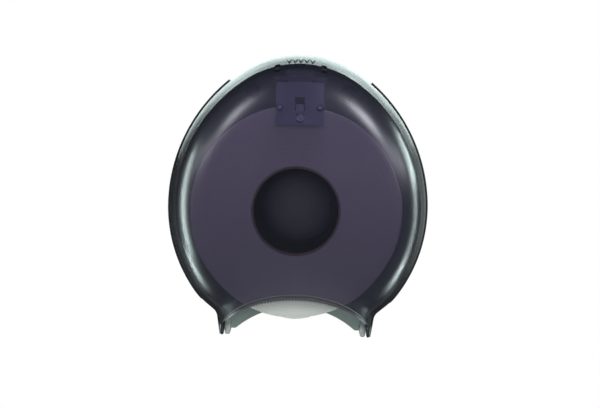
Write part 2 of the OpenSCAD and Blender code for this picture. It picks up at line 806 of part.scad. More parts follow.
// The bar's ends lie behind the key slots
bar_front = slot_depth - 1;
bar_rear = bar_front - 9;
bar_x = slot_x + slot_w / 2 + 0.6;
bar_over = 2;
hook_cham = 1;
brace_d = 8;
brace_z = 9;
module latch_slider() {
    arm_front = stem_rear + stem_t / 2;
    color([0.26, 0.25, 0.32, 0.75])
    union() {
        block(-stem_x, stem_x, stem_rear, stem_front, stem_low, arm_low + arm_t / 2);
        block(-arm_x, arm_x, arm_rear, arm_front, arm_low, arm_top);
        block(-bar_x, bar_x, bar_rear, bar_front, arm_top - bar_over, arm_top + bar_over);
        side_slab(hook_cham - arm_x, arm_x - hook_cham, [[arm_rear, arm_low],
            [arm_rear, hook_top - hook_cham], [arm_rear + hook_cham, hook_top],
            [arm_rear + tooth_t, hook_top], [arm_rear + tooth_t, arm_low]]);
        both_sides()
            side_slab(arm_x - gusset_t, arm_x, [[stem_rear - brace_d, arm_low + over],
                [arm_front, arm_low + over], [arm_front, arm_low - brace_z],
                [stem_rear, arm_low - brace_z]]);
    }
}
// The leaf is screwed to the front of the frame and reaches through its window to the stem
leaf_x = 3.8;
module detent_spring() {
    tip = stem_front + 0.1;
    z = [detent_z - head_r, window_low, window_low + 9, window_low + 14];
    color([0.78, 0.79, 0.80])
    difference() {
        side_slab(-leaf_x, leaf_x, [[frame_front, z[0]], [frame_front, z[1]], [tip, z[2]],
            [frame_front, z[3]], [frame_front + leaf_t, z[3]], [tip + 2 * leaf_t, z[2]],
            [frame_front + leaf_t, z[1]], [frame_front + leaf_t, z[0]]]);
        post(0, detent_z, frame_front - over, frame_front + leaf_t + over, screw_r + screw_play);
    }
}
module detent_screw() {
    color([0.75, 0.75, 0.77])
        pan_screw(0, detent_z, frame_front + leaf_t, frame_t + leaf_t, true);
}

// The hook passes behind a ledge that hangs from the bracket's shelf
ledge_rear = arm_rear + tooth_t + ledge_play;
module catch_bracket() {
    ledge_front = ledge_rear + catch_t;
    shelf_top = shelf_low + catch_t;
    color([0.62, 0.68, 0.66])
    difference() {
        union() {
            block(-catch_x, catch_x, plate_t, plate_t + catch_t, catch_low, shelf_top);
            block(-catch_x, catch_x, plate_t, ledge_front, shelf_low, shelf_top);
            block(-catch_x, catch_x, ledge_rear, ledge_front, ledge_low, shelf_top);
            both_sides()
                side_slab(catch_x - gusset_t, catch_x, [[plate_t, catch_low], [plate_t, shelf_top],
                    [ledge_front, shelf_top], [ledge_front, ledge_low], [plate_t + catch_t, catch_low]]);
        }
        both_sides()
            post(catch_screw_x, catch_screw_z, plate_t - over, plate_t + catch_t + over,
                screw_r + screw_play);
    }
}
module catch_screws() {
    color([0.75, 0.75, 0.77])
    both_sides()
        pan_screw(catch_screw_x, catch_screw_z, plate_t + catch_t,
            plate_t + catch_t - pilot_floor - tip_gap, true);
}

back_plate();
spindle();
spindle_screws();
hub_drum();
hub_cap();
hub_bush_rear();
hub_bush_front();
hub_washer();
hub_screw();
roll_core();
paper_roll();
cover();
tear_bar();
hinge_pin_left();
hinge_pin_right();
latch_frame();
latch_frame_screws();
latch_slider();
detent_spring();
detent_screw();
catch_bracket();
catch_screws();
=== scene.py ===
"""Looks of a wall-hung dispenser for one jumbo toilet roll: smoke cover, tear bar, paper, fittings.

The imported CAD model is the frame. Lengths are in millimetres and depths are distances out from
the wall, until make_mesh turns them into metres in the row's frame (-Y out of the wall, +Z up).
"""

import math

import bmesh
import bpy
import numpy as np
from mathutils import Matrix, Quaternion, Vector


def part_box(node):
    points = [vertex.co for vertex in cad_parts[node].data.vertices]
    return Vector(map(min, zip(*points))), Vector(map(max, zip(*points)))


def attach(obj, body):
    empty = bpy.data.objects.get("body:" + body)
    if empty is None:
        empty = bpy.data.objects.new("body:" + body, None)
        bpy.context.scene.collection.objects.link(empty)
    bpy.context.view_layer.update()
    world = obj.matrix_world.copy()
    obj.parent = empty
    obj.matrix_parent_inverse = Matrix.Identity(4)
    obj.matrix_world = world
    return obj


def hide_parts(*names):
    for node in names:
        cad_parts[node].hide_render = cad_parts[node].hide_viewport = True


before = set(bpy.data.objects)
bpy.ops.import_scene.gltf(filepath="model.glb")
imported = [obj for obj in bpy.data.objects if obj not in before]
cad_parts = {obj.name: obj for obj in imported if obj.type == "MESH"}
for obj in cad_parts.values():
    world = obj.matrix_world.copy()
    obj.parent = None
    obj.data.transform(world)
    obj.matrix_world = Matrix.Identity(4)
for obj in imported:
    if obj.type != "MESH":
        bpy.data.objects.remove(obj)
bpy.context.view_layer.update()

MM = 0.001

# ---------------------------------------------------------------- sizes shared with part.scad

HALF_W, CROWN_H, CROWN_R = 136.0, 160.5, 110.0
LOW_R, LOW_A, CHIN_R, CHIN_A = 153.0, 36.0, 80.0, 51.0
FLARE_LEN, FLARE_R, LEG_A, FOOT_DROP = 9.0, 12.0, 9.0, 137.5
DEPTH, WALL_A, CORNER_R, DOME_A = 143.0, 6.4, 38.0, 7.0
COVER_T, TAPER_DROP, WALL_GAP = 2.5, 30.0, 0.8
FLANGE_W, FLANGE_T, FLANGE_A = 2.0, 2.5, 50.0
ARCH_TOP, ARCH_HIGH, LEG_W = -94.8, 36.0, 4.1
LIP_H, LIP_END, LIP_T, LIP_PROUD, LIP_A, TEETH = 4.6, 1.0, 3.0, 0.6, 68.0, 58
SLOT_X, SLOT_W, SLOT_LEN, SLOT_DEPTH = 23.5, 5.4, 18.0, 107.0
GRIP_COUNT, GRIP_PITCH, GRIP_LEN, GRIP_DEPTH, GRIP_RIB = 5, 6.0, 22.0, 76.0, 1.6
GRIP_H, GRIP_GAP = 1.0, 0.6
HINGE_DEPTH, HINGE_Z, BOSS_R, BOSS_LEN, PIN_R = 14.0, -126.0, 6.5, 3.0, 2.56
FRAME_SCREW_X, FRAME_SCREW_Z, FRAME_FRONT, POST_R = 20.0, 98.5, 122.0, 4.0
ROLL_X, ROLL_Z, ROLL_R, CORE_OUT_R = -1.778, -4.886, 107.3, 45.05
ROLL_REAR, ROLL_FRONT = 23.8, 112.8
WALL_SCREW_X, WALL_SCREW_Z = 50.0, 121.6

# ---------------------------------------------------------------- sizes of the looks alone

# How far the wall bulges, the width of the dark strip of painted shade on the flange, its small
# chamfer
WALL_CROWN, FLANGE_EDGE, CHAMFER_D, CHAMFER_W = 1.8, 1.5, 0.3, 0.04
# Height of a tooth, deeper than the solid's so that it shows, and how round its notch is
TOOTH_H, NOTCH_POWER = 2.4, 1.6
# The bead above the lip: its middle over the lip, half width, height, and end angle
BEAD_OFF, BEAD_HALF, BEAD_PROUD, BEAD_A = 1.9, 0.9, 0.55, 80.0
# Thickness of the black liners in the key slots, which are painted shade
LINER_T = 0.5
# The lowest point of the CAD model, which no piece passes
FOOT_END = -136.9
# Inner end, outer end, radius and rim radius of the discs about the hinge
KNUCKLE = (75.0, 79.4, 10.8, 2.15)
EAR_CAP = (68.4, 73.9, 10.4, 2.2)
# The loose end of the paper: first angle, sweep, and how far it stands off
TAIL_START, TAIL_SWEEP, TAIL_LIFT = -98.0, 17.0, 1.5
# Bore of a post behind the latch frame, its length, and the half width at which it meets the cover
POST_BORE, POST_BORE_LEN, POST_RAD = 2.0, 9.0, 118.0
# Radius and rear depth of a wall screw's seal
SEAL_R, SEAL_D = 7.4, 5.0
# Depth of the back plate's floor
TRAY_FLOOR = 3.0

# ---------------------------------------------------------------- values worked out from these

def direction(angle):
    """Unit vector at an angle in degrees, in x and z."""
    return np.array([math.cos(math.radians(angle)), math.sin(math.radians(angle))])


SIDE_R = (HALF_W ** 2 + (CROWN_H - CROWN_R) ** 2 - CROWN_R ** 2) / (2 * (HALF_W - CROWN_R))
SIDE_C = np.array([HALF_W - SIDE_R, 0.0])
CROWN_C = np.array([0.0, CROWN_H - CROWN_R])
CROWN_A = math.degrees(math.atan2(CROWN_C[1], -SIDE_C[0]))
LOW_C = np.array([HALF_W - LOW_R, 0.0])
CHIN_C = LOW_C + (LOW_R - CHIN_R) * direction(-LOW_A)
FLARE_START = CHIN_C + CHIN_R * direction(-CHIN_A) - FLARE_LEN * direction(90 - CHIN_A)
FLARE_C = FLARE_START + FLARE_R * direction(-CHIN_A)
TAPER_C = np.array([0.0, -TAPER_DROP])
LEG_LEAN = math.tan(math.radians(LEG_A))
WALL_TAN = math.tan(math.radians(WALL_A))
CORNER_RAD = ((HALF_W - CORNER_R / math.cos(math.radians(WALL_A)) - (DEPTH - CORNER_R) * WALL_TAN)
              / (1 - math.tan(math.radians(DOME_A / 2)) * WALL_TAN))
CORNER_D = DEPTH - CORNER_R - CORNER_RAD * math.tan(math.radians(DOME_A / 2))
DOME_R = CORNER_RAD / math.sin(math.radians(DOME_A)) + CORNER_R
DOME_D = DEPTH - DOME_R
ARCH_Z = ARCH_TOP - ARCH_HIGH


def leg_at(inset, z):
    """The leg's outer edge at a height, inside the outline by an inset."""
    top = FLARE_C - (FLARE_R + inset) * direction(-LEG_A)
    return np.array([top[0] - (top[1] - z) * LEG_LEAN, z])


ARCH_HALF = leg_at(0, ARCH_Z)[0] - LEG_W


def arc(centre, radius, start, stop, count):
    """Points of an arc, without the first."""
    return [centre + radius * direction(start + (stop - start) * i / count)
            for i in range(1, count + 1)]


def outline(inset):
    """The cover's closed outline in x and z, clockwise from the crown, inside by an inset."""
    right = ([CROWN_C + np.array([0.0, CROWN_R - inset])]
             + arc(CROWN_C, CROWN_R - inset, 90, CROWN_A, 32)
             + arc(SIDE_C, SIDE_R - inset, CROWN_A, 0, 70)
             + arc(LOW_C, LOW_R - inset, 0, -LOW_A, 44)
             + arc(CHIN_C, CHIN_R - inset, -LOW_A, -CHIN_A, 12))
    end = right[-1]
    turn = FLARE_C - (FLARE_R + inset) * direction(-CHIN_A)
    right += [end + (turn - end) * t for t in (0.25, 0.5, 0.75)]
    right += [FLARE_C - (FLARE_R + inset) * direction(-CHIN_A + (CHIN_A - LEG_A) * i / 8)
              for i in range(9)]
    foot = leg_at(inset, inset - FOOT_DROP)
    right += [right[-1] + (foot - right[-1]) * t for t in (0.33, 0.67, 1.0)]
    bottom = [np.array([foot[0] * (1 - i / 24), foot[1]]) for i in range(1, 48)]
    left = [np.array([-p[0], p[1]]) for p in right[:0:-1]]
    return np.array(right + bottom + left)


def section(inset):
    """The cover's section as half widths and depths, from its rear edge to its front."""
    r = CORNER_R - inset
    top_d = CORNER_D + r * math.sin(math.radians(WALL_A))
    rows = []
    for i in range(14):
        d = WALL_GAP + FLANGE_T + (top_d - WALL_GAP - FLANGE_T) * i / 14
        rows.append((wall_rad(d, inset) + skin_bulge(d), d))
    for i in range(23):
        a = WALL_A + (90 - DOME_A - WALL_A) * i / 22
        rows.append(tuple(np.array([CORNER_RAD, CORNER_D]) + r * direction(a)))
    for i in range(1, 22):
        a = 90 - DOME_A + DOME_A * i / 22
        rows.append(tuple(np.array([0.0, DOME_D]) + (DOME_R - inset) * direction(a)))
    return rows


def wall_rad(d, inset):
    """Half width of the cover's straight wall at a depth."""
    wall = CORNER_RAD + (CORNER_R - inset) / math.cos(math.radians(WALL_A))
    return wall + (CORNER_D - d) * WALL_TAN


def skin_depth(rad, inset=0.0):
    """Depth of the cover's surface where its half width is rad."""
    if rad <= (DOME_R - inset) * math.sin(math.radians(DOME_A)):
        return DOME_D + math.sqrt((DOME_R - inset) ** 2 - rad ** 2)
    if rad <= CORNER_RAD + (CORNER_R - inset) * math.cos(math.radians(WALL_A)):
        return CORNER_D + math.sqrt((CORNER_R - inset) ** 2 - (rad - CORNER_RAD) ** 2)
    straight = rad - CORNER_RAD - (CORNER_R - inset) / math.cos(math.radians(WALL_A))
    return CORNER_D - straight / WALL_TAN


def lower_rad(x, z):
    """Half width of the section that a point near the legs lies on."""
    q = np.array([abs(x), z]) - TAPER_C
    u = q / np.linalg.norm(q)
    leg = leg_at(0, TAPER_C[1])[0] / (u[0] - u[1] * LEG_LEAN)
    return HALF_W * max(-q[1] / (FOOT_DROP - TAPER_DROP), np.linalg.norm(q) / leg)


def skin_bulge(d):
    """How far the wall bulges out of its straight line at a depth."""
    rear, front = WALL_GAP + FLANGE_T, CORNER_D + CORNER_R * math.sin(math.radians(WALL_A))
    if not rear < d < front:
        return 0.0
    return WALL_CROWN * math.sin(math.pi * (d - rear) / (front - rear))


def crown_skin(x, d):
    """Height of the cover's skin at the crown."""
    if d < CORNER_D + CORNER_R * math.sin(math.radians(WALL_A)):
        rad = wall_rad(d, 0)
    else:
        rad = CORNER_RAD + math.sqrt(CORNER_R ** 2 - (d - CORNER_D) ** 2)
    k = rad / HALF_W
    return TAPER_C[1] + k * (CROWN_C[1] + math.sqrt(CROWN_R ** 2 - (x / k) ** 2) - TAPER_C[1])


# ---------------------------------------------------------------- mesh helpers

def make_mesh(name, verts, faces):
    """A mesh object from points (x, depth, z) in millimetres."""
    mesh = bpy.data.meshes.new(name)
    mesh.from_pydata([(x * MM, -d * MM, z * MM) for x, d, z in verts], [], faces)
    mesh.validate()
    obj = bpy.data.objects.new(name, mesh)
    bpy.context.scene.collection.objects.link(obj)
    bm = bmesh.new()
    bm.from_mesh(mesh)
    bmesh.ops.remove_doubles(bm, verts=bm.verts, dist=1e-7)
    bmesh.ops.recalc_face_normals(bm, faces=bm.faces)
    bm.to_mesh(mesh)
    bm.free()
    return obj


def smooth(obj, angle=28):
    """Smooth shading, with edges sharper than an angle kept sharp."""
    bm = bmesh.new()
    bm.from_mesh(obj.data)
    for face in bm.faces:
        face.smooth = True
    for edge in bm.edges:
        edge.smooth = len(edge.link_faces) == 2 and edge.calc_face_angle(0) < math.radians(angle)
    bm.to_mesh(obj.data)
    bm.free()
    return obj


def tube_faces(count, n):
    """Faces of a tube without ends, of count + 1 rows of n points."""
    return [(i * n + j, i * n + (j + 1) % n, (i + 1) * n + (j + 1) % n, (i + 1) * n + j)
            for i in range(count) for j in range(n)]


def bar_faces(count, n):
    """Faces of a bar with flat ends, of count + 1 rows of n points."""
    return tube_faces(count, n) + [tuple(range(n))[::-1], tuple(range(count * n, count * n + n))]


def ring_faces(count, n):
    """Faces of a ring of count rows of n points, closed on itself."""
    return [(i * n + j, i * n + (j + 1) % n, k * n + (j + 1) % n, k * n + j)
            for i, k in ((i, (i + 1) % count) for i in range(count)) for j in range(n)]


def prism(points, d0, d1):
    """Verts and faces of an outline in x and z drawn out between two depths."""
    verts = [(x, d, z) for d in (d0, d1) for x, z in points]
    return verts, bar_faces(1, len(points))


def rod(axis, centre, low, high, radius, count=40):
    """Verts and faces of a round bar along x or along the depth."""
    verts = []
    for end in (low, high):
        for i in range(count):
            turn = 2 * math.pi * i / count
            u, v = centre[0] + radius * math.cos(turn), centre[1] + radius * math.sin(turn)
            verts.append((end, u, v) if axis == "x" else (u, end, v))
    return verts, bar_faces(1, count)


def merged(parts):
    """Several (verts, faces) as one."""
    verts, faces = [], []
    for v, f in parts:
        faces += [tuple(i + len(verts) for i in face) for face in f]
        verts += list(v)
    return verts, faces


def carve(obj, parts, operation):
    """Adds solids to an object, or cuts them out of it."""
    tool = make_mesh("tool", *merged(parts))
    mod = obj.modifiers.new("carve", "BOOLEAN")
    mod.operation = operation
    mod.solver = "EXACT"
    mod.object = tool
    graph = bpy.context.evaluated_depsgraph_get()
    mesh = bpy.data.meshes.new_from_object(obj.evaluated_get(graph))
    obj.modifiers.clear()
    old = obj.data
    obj.data = mesh
    bpy.data.meshes.remove(old)
    bpy.data.objects.remove(tool)


def lathe(profile, centre, count=192, wobble=None):
    """A ring turned about an axis along the depth from a closed profile of radii and depths."""
    verts = []
    for i in range(count):
        a = 2 * math.pi * i / count
        for r, d in profile:
            rr = r + (wobble(a, r) if wobble else 0.0)
            verts.append((centre[0] + rr * math.cos(a), d, centre[1] + rr * math.sin(a)))
    return verts, ring_faces(count, len(profile))


# ---------------------------------------------------------------- cover

def has_flange(p):
    """Whether the flange runs along a point of the outline."""
    on_side = math.degrees(math.atan2(p[1], abs(p[0]) - SIDE_C[0])) < FLANGE_A
    return on_side and (p[1] > 0.01 - FOOT_DROP or abs(p[0]) > leg_at(0, -FOOT_DROP)[0] - 0.01)


def away(p):
    """The direction in which the flange stands out."""
    if p[1] < -100:
        return np.array([math.copysign(1.0, p[0]), 0.0])
    return (p - TAPER_C) / np.linalg.norm(p - TAPER_C)


def cover_shell():
    """The closed shell, with its flange round the rear edge."""
    outer_ring, inner_ring = outline(0), outline(COVER_T)
    n = len(outer_ring)
    reach = np.where([has_flange(p) for p in outer_ring], FLANGE_W - FLANGE_EDGE, 0.0)
    verts, rows = [], 0

    def add_row(ring, rad, d, divisor, extra=None):
        nonlocal rows
        for i, p in enumerate(ring):
            q = TAPER_C + (p - TAPER_C) * rad / divisor
            if extra is not None:
                q = q + away(p) * extra[i]
            verts.append((q[0], d, q[1]))
        rows += 1

    inner = section(COVER_T)
    outer = section(0.0)
    rear, front = WALL_GAP, WALL_GAP + FLANGE_T
    for rad, d in inner[::-1]:
        add_row(inner_ring, rad, d, HALF_W - COVER_T)
    add_row(inner_ring, wall_rad(rear, COVER_T), rear, HALF_W - COVER_T)
    add_row(outer_ring, wall_rad(rear, 0), rear, HALF_W, reach - CHAMFER_W)
    add_row(outer_ring, wall_rad(rear, 0), rear + CHAMFER_D, HALF_W, reach)
    add_row(outer_ring, wall_rad(front, 0), front - CHAMFER_D, HALF_W, reach)
    add_row(outer_ring, wall_rad(front, 0), front, HALF_W, reach - CHAMFER_W)
    for rad, d in outer:
        add_row(outer_ring, rad, d, HALF_W)
    faces = tube_faces(rows - 1, n)
    inner_tip, outer_tip = len(verts), len(verts) + 1
    verts += [(TAPER_C[0], DEPTH - COVER_T, TAPER_C[1]), (TAPER_C[0], DEPTH, TAPER_C[1])]
    last = (rows - 1) * n
    for i in range(n):
        faces.append((i, (i + 1) % n, inner_tip))
        faces.append((last + (i + 1) % n, last + i, outer_tip))
    return make_mesh("smoke_cover", verts, faces)


def arch_curve(a, b, count=120):
    """The upper half of an ellipse about the arch's middle, from its half width and height."""
    return [(a * math.cos(math.pi * i / count), ARCH_Z + b * math.sin(math.pi * i / count))
            for i in range(count + 1)]


def thumb_grip(x):
    """A raised chevron that follows the crown."""
    w = (GRIP_PITCH - GRIP_GAP) / 2
    line = [(-w, 0.0), (0.0, GRIP_LEN - GRIP_RIB), (w, 0.0),
            (w, GRIP_RIB), (0.0, GRIP_LEN), (-w, GRIP_RIB)]
    low, high = [], []
    for u, v in line:
        z = crown_skin(x + u, GRIP_DEPTH + v) + skin_bulge(GRIP_DEPTH + v)
        low.append((x + u, GRIP_DEPTH + v, z - GRIP_H))
        high.append((x + u, GRIP_DEPTH + v, z + GRIP_H))
    n = len(line)
    caps = [(0, 1, 4, 5), (1, 2, 3, 4)]
    faces = tube_faces(1, n) + [c[::-1] for c in caps] + [tuple(i + n for i in c) for c in caps]
    return low + high, faces


def build_frame_posts():
    """The two posts inside the cover that the latch frame is screwed to."""
    rear, front = FRAME_FRONT, skin_depth(POST_RAD, COVER_T) - 0.1
    bore_end = rear + POST_BORE_LEN
    profile = [(POST_BORE, rear), (POST_R, rear), (POST_R, front), (0.01, front),
               (0.01, bore_end), (POST_BORE, bore_end)]
    parts = [lathe(profile, (side * FRAME_SCREW_X, FRAME_SCREW_Z), 32) for side in (-1, 1)]
    return smooth(make_mesh("frame_posts", *merged(parts)), 30)


def build_key_slot_shade():
    """Black liners in the two key slots, through the thickness of the cover: painted shade for the
    dark inside of the slots.
    """
    rear, front = SLOT_DEPTH - SLOT_LEN / 2, SLOT_DEPTH + SLOT_LEN / 2
    parts = []
    for side in (-1, 1):
        for d0, d1, u0, u1 in ((rear, rear + LINER_T, 0, SLOT_W),
                               (front - LINER_T, front, 0, SLOT_W),
                               (rear, front, 0, LINER_T),
                               (rear, front, SLOT_W - LINER_T, SLOT_W)):
            steps = max(1, round((d1 - d0) / 2))
            verts = []
            for k in range(steps + 1):
                d = d0 + (d1 - d0) * k / steps
                for u, drop in ((u0, 0.1), (u1, 0.1), (u1, COVER_T), (u0, COVER_T)):
                    x = side * SLOT_X - SLOT_W / 2 + u
                    verts.append((x, d, crown_skin(x, d) + skin_bulge(d) - drop))
            parts.append((verts, bar_faces(steps, 4)))
    return smooth(make_mesh("key_slot_painted_shade", *merged(parts)), 30)


def hinge_discs(name, inside, outside, radius, rim):
    """A pair of discs about the hinge axis, with rounded rims."""
    parts = []
    count = 72
    half = (outside - inside) / 2
    line = [(0.01, -half)]
    for sign, low in ((-1, -90), (1, 0)):
        for a in range(low, low + 91, 15):
            u, v = direction(a) * rim
            line.append((radius - rim + u, (half - rim) * sign + v))
    line.append((0.01, half))
    for side in (-1, 1):
        verts = []
        for i in range(count):
            turn = 2 * math.pi * i / count
            for r, u in line:
                x = side * ((inside + outside) / 2 + u)
                verts.append((x, HINGE_DEPTH + r * math.cos(turn), HINGE_Z + r * math.sin(turn)))
        parts.append((verts, ring_faces(count, len(line))))
    return smooth(make_mesh(name, *merged(parts)), 40)


def build_grips():
    """The row of thumb grips on the crown."""
    grips = [thumb_grip((i - (GRIP_COUNT - 1) / 2) * GRIP_PITCH) for i in range(GRIP_COUNT)]
    return smooth(make_mesh("thumb_grips", *merged(grips)), 30)


def build_flange_edge():
    """The dark outer edge of the flange, one strip on each side: painted shade for the shadow line
    at the flange's rim.
    """
    parts = []
    k = wall_rad(WALL_GAP, 0) / HALF_W
    rear, front = WALL_GAP, WALL_GAP + FLANGE_T
    inside = FLANGE_W - FLANGE_EDGE - 0.05
    section_line = ((inside, rear), (FLANGE_W - 0.1, rear), (FLANGE_W, rear + CHAMFER_D),
                    (FLANGE_W, front - CHAMFER_D), (FLANGE_W - 0.2, front), (inside, front))
    for side in (-1, 1):
        line = [p for p in outline(0) if has_flange(p) and p[0] * side > 1]
        verts = []
        for p in line:
            q = TAPER_C + (p - TAPER_C) * k
            for reach, d in section_line:
                edge = q + away(p) * reach
                verts.append((edge[0], d, max(edge[1], FOOT_END)))
        parts.append((verts, bar_faces(len(line) - 1, len(section_line))))
    return smooth(make_mesh("flange_edge", *merged(parts)), 40)


def arch_cutter():
    """The opening under the cover, up to the lip's upper edge."""
    half, low = ARCH_HALF + LIP_END, -FOOT_DROP - 2
    return prism(arch_curve(half, ARCH_HIGH + LIP_H) + [(-half, low), (half, low)], -2, DEPTH + 2)


def heel_cutter():
    """The rear of the legs, rounded about the hinge so that they clear the wall."""
    heel, low = HINGE_DEPTH - WALL_GAP, -FOOT_DROP - 2
    line = [(-2, low), (-2, HINGE_Z)]
    for a in range(0, 91, 6):
        u, v = heel * direction(a)
        line.append((HINGE_DEPTH - u, HINGE_Z - v))
    line.append((HINGE_DEPTH, low))
    return [(x, d, z) for x in (-HALF_W, HALF_W) for d, z in line], bar_faces(1, len(line))


def key_slot_cutter(x):
    """One key slot through the crown."""
    low, high = 124, 160
    left, right = x - SLOT_W / 2, x + SLOT_W / 2
    slot = [(left, low), (right, low), (right, high), (left, high)]
    return prism(slot, SLOT_DEPTH - SLOT_LEN / 2, SLOT_DEPTH + SLOT_LEN / 2)


def build_cover():
    """The smoke shell with its arch, hinge bosses, rounded heels and key slots."""
    cover = cover_shell()
    carve(cover, [arch_cutter()], "DIFFERENCE")
    hinge = (HINGE_DEPTH, HINGE_Z)
    k = wall_rad(HINGE_DEPTH, 0) / HALF_W
    boss_out = k * leg_at(0, TAPER_C[1] + (HINGE_Z + TAPER_DROP) / k)[0] - COVER_T / 2
    boss_in = boss_out - BOSS_LEN
    bosses = [rod("x", hinge, side * boss_in, side * boss_out, BOSS_R) for side in (-1, 1)]
    carve(cover, bosses, "UNION")
    cuts = [heel_cutter()]
    for side in (-1, 1):
        cuts.append(rod("x", hinge, side * (boss_in - 1), side * (boss_out - 0.3), PIN_R, 24))
        cuts.append(key_slot_cutter(side * SLOT_X))
    carve(cover, cuts, "DIFFERENCE")
    foot = [(-HALF_W, FOOT_END - 5), (HALF_W, FOOT_END - 5),
            (HALF_W, FOOT_END), (-HALF_W, FOOT_END)]
    carve(cover, [prism(foot, -2, DEPTH + 2)], "DIFFERENCE")
    return smooth(cover, 26)


def split_skins(cover, outer_mat, inner_mat, wall_shade_mat):
    """One finish on the faces that look out, one on those that look in, and matt black on those
    against the wall, painted shade where the wall would block the light.
    """
    cover.data.materials.clear()
    for mat in (outer_mat, inner_mat, wall_shade_mat):
        cover.data.materials.append(mat)
    middle = Vector((0.0, -0.045, 0.0))
    for face in cover.data.polygons:
        # Painted shade: the faces against the wall get the matt black.
        if face.normal.y > 0.8 and face.center.y > -5 * MM:
            face.material_index = 2
        else:
            face.material_index = 0 if face.normal.dot(face.center - middle) > 0 else 1


def arch_point(a, k):
    """Point of the lip at an angle, from its lower edge, k = 0, to its upper, k = 1."""
    return ((ARCH_HALF + k * LIP_END) * math.sin(math.radians(a)),
            ARCH_Z + (ARCH_HIGH + k * LIP_H) * math.cos(math.radians(a)))


def build_tear_bar():
    """The toothed lip along the arch, with a rounded upper edge."""
    steps = 6
    count = steps * TEETH
    profile = [(0.0, 1.0), (0.5, 1.0), (0.86, 1.0), (0.95, 0.6), (0.98, -0.2)]
    verts = []
    for i in range(count + 1):
        a = LIP_A * (2 * i / count - 1)
        phase = abs((i % steps) / steps * 2 - 1)
        tooth = TOOTH_H / LIP_H * (1 - phase ** NOTCH_POWER)
        for k, proud in profile:
            kk = tooth + (1 - tooth) * k
            x, z = arch_point(a, kk)
            verts.append((x, skin_depth(lower_rad(x, z)) + LIP_PROUD * proud, z))
        for k in (0.98, 0.0):
            kk = tooth + (1 - tooth) * k
            x, z = arch_point(a, kk)
            verts.append((x, skin_depth(lower_rad(x, z)) + LIP_PROUD - LIP_T, z))
    return smooth(make_mesh("serrated_lip", verts, bar_faces(count, len(profile) + 2)), 30)


def build_arch_bead():
    """A raised bead on the cover just outside the lip."""
    count, arcs = 160, 6
    verts = []
    for i in range(count + 1):
        a = BEAD_A * (2 * i / count - 1)
        for j in range(arcs + 1):
            t = math.pi * j / arcs
            k = 1 + (BEAD_OFF - BEAD_HALF * math.cos(t)) / LIP_H
            x, z = arch_point(a, k)
            verts.append((x, skin_depth(lower_rad(x, z)) + BEAD_PROUD * math.sin(t) - 0.05, z))
    return smooth(make_mesh("arch_bead", verts, bar_faces(count, arcs + 1)), 50)


# ---------------------------------------------------------------- paper

def roll_wobble(a, r):
    """How far the wound paper strays from round."""
    share = (r - CORE_OUT_R) / (ROLL_R - CORE_OUT_R)
    wave = 0.30 * math.sin(3 * a + 0.7) + 0.22 * math.sin(7 * a + 2.0) + 0.16 * math.sin(13 * a)
    return share * (wave - 0.7)


def build_roll():
    """The roll, with softly rounded edges and faces that step in and out with the winding."""
    profile = [(CORE_OUT_R, ROLL_REAR + 0.3), (CORE_OUT_R, ROLL_FRONT - 0.3)]
    radii = np.linspace(CORE_OUT_R + 0.4, ROLL_R - 1.6, 60)
    rng = np.random.default_rng(4)
    steps = rng.uniform(0.0, 0.18, len(radii))
    profile += [(r, ROLL_FRONT - s) for r, s in zip(radii, steps)]
    profile += [(ROLL_R - 0.7, ROLL_FRONT - 0.5), (ROLL_R - 0.15, ROLL_FRONT - 1.2)]
    profile += [(ROLL_R, ROLL_FRONT - 2.5 - i * 7.0) for i in range(12)]
    profile += [(ROLL_R - 0.15, ROLL_REAR + 1.2), (ROLL_R - 0.7, ROLL_REAR + 0.5)]
    profile += [(r, ROLL_REAR + s) for r, s in zip(radii[::-1], steps)]
    verts, faces = lathe(profile, (ROLL_X, ROLL_Z), 256, roll_wobble)
    return smooth(make_mesh("wound_tissue", verts, faces), 60)


def build_loose_end():
    """The free end of the paper, which stands a little off the roll at the bottom."""
    count, rows = 40, 24
    top, under = [], []
    for i in range(count + 1):
        share = i / count
        a = math.radians(TAIL_START + TAIL_SWEEP * share)
        lift = 0.1 + TAIL_LIFT * math.sin(0.88 * math.pi * share ** 0.9)
        for j in range(rows + 1):
            d = ROLL_REAR + 0.5 + (ROLL_FRONT - ROLL_REAR - 0.8) * j / rows
            ripple = 0.15 * share * math.sin(j * 0.9 + 3.0 * share)
            for points, r in ((top, ROLL_R - 0.9 + lift + ripple), (under, ROLL_R - 1.6)):
                points.append((ROLL_X + r * math.cos(a), d, ROLL_Z + r * math.sin(a)))
    n = rows + 1
    base = len(top)
    faces = []
    for i in range(count):
        for j in range(rows):
            a = i * n + j
            faces.append((a, a + 1, a + n + 1, a + n))
            faces.append((base + a + n, base + a + n + 1, base + a + 1, base + a))
    for i in range(count):
        faces.append((i * n, (i + 1) * n, base + (i + 1) * n, base + i * n))
        a, b = i * n + rows, (i + 1) * n + rows
        faces.append((a, base + a, base + b, b))
    for j in range(rows):
        faces.append((j, base + j, base + j + 1, j + 1))
        a = count * n + j
        faces.append((a, a + 1, base + a + 1, base + a))
    return smooth(make_mesh("loose_end", top + under, faces), 60)


# ---------------------------------------------------------------- hub and seals

def build_cap_face():
    """A slightly domed face over the hub's cap."""
    low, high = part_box("hub_cap")
    radius = (high[0] - low[0]) / 2 / MM
    front = -low[1] / MM
    rear = -high[1] / MM
    profile = [(0.01, rear), (radius, rear), (radius, front - 1.6)]
    profile += [(radius * math.cos(math.radians(a)), front - 1.6 + 1.6 * math.sin(math.radians(a)))
                for a in range(10, 90, 8)]
    profile.append((0.01, front))
    centre = ((low[0] + high[0]) / 2 / MM, (low[2] + high[2]) / 2 / MM)
    return smooth(make_mesh("cap_face", *lathe(profile, centre, 96)), 35)


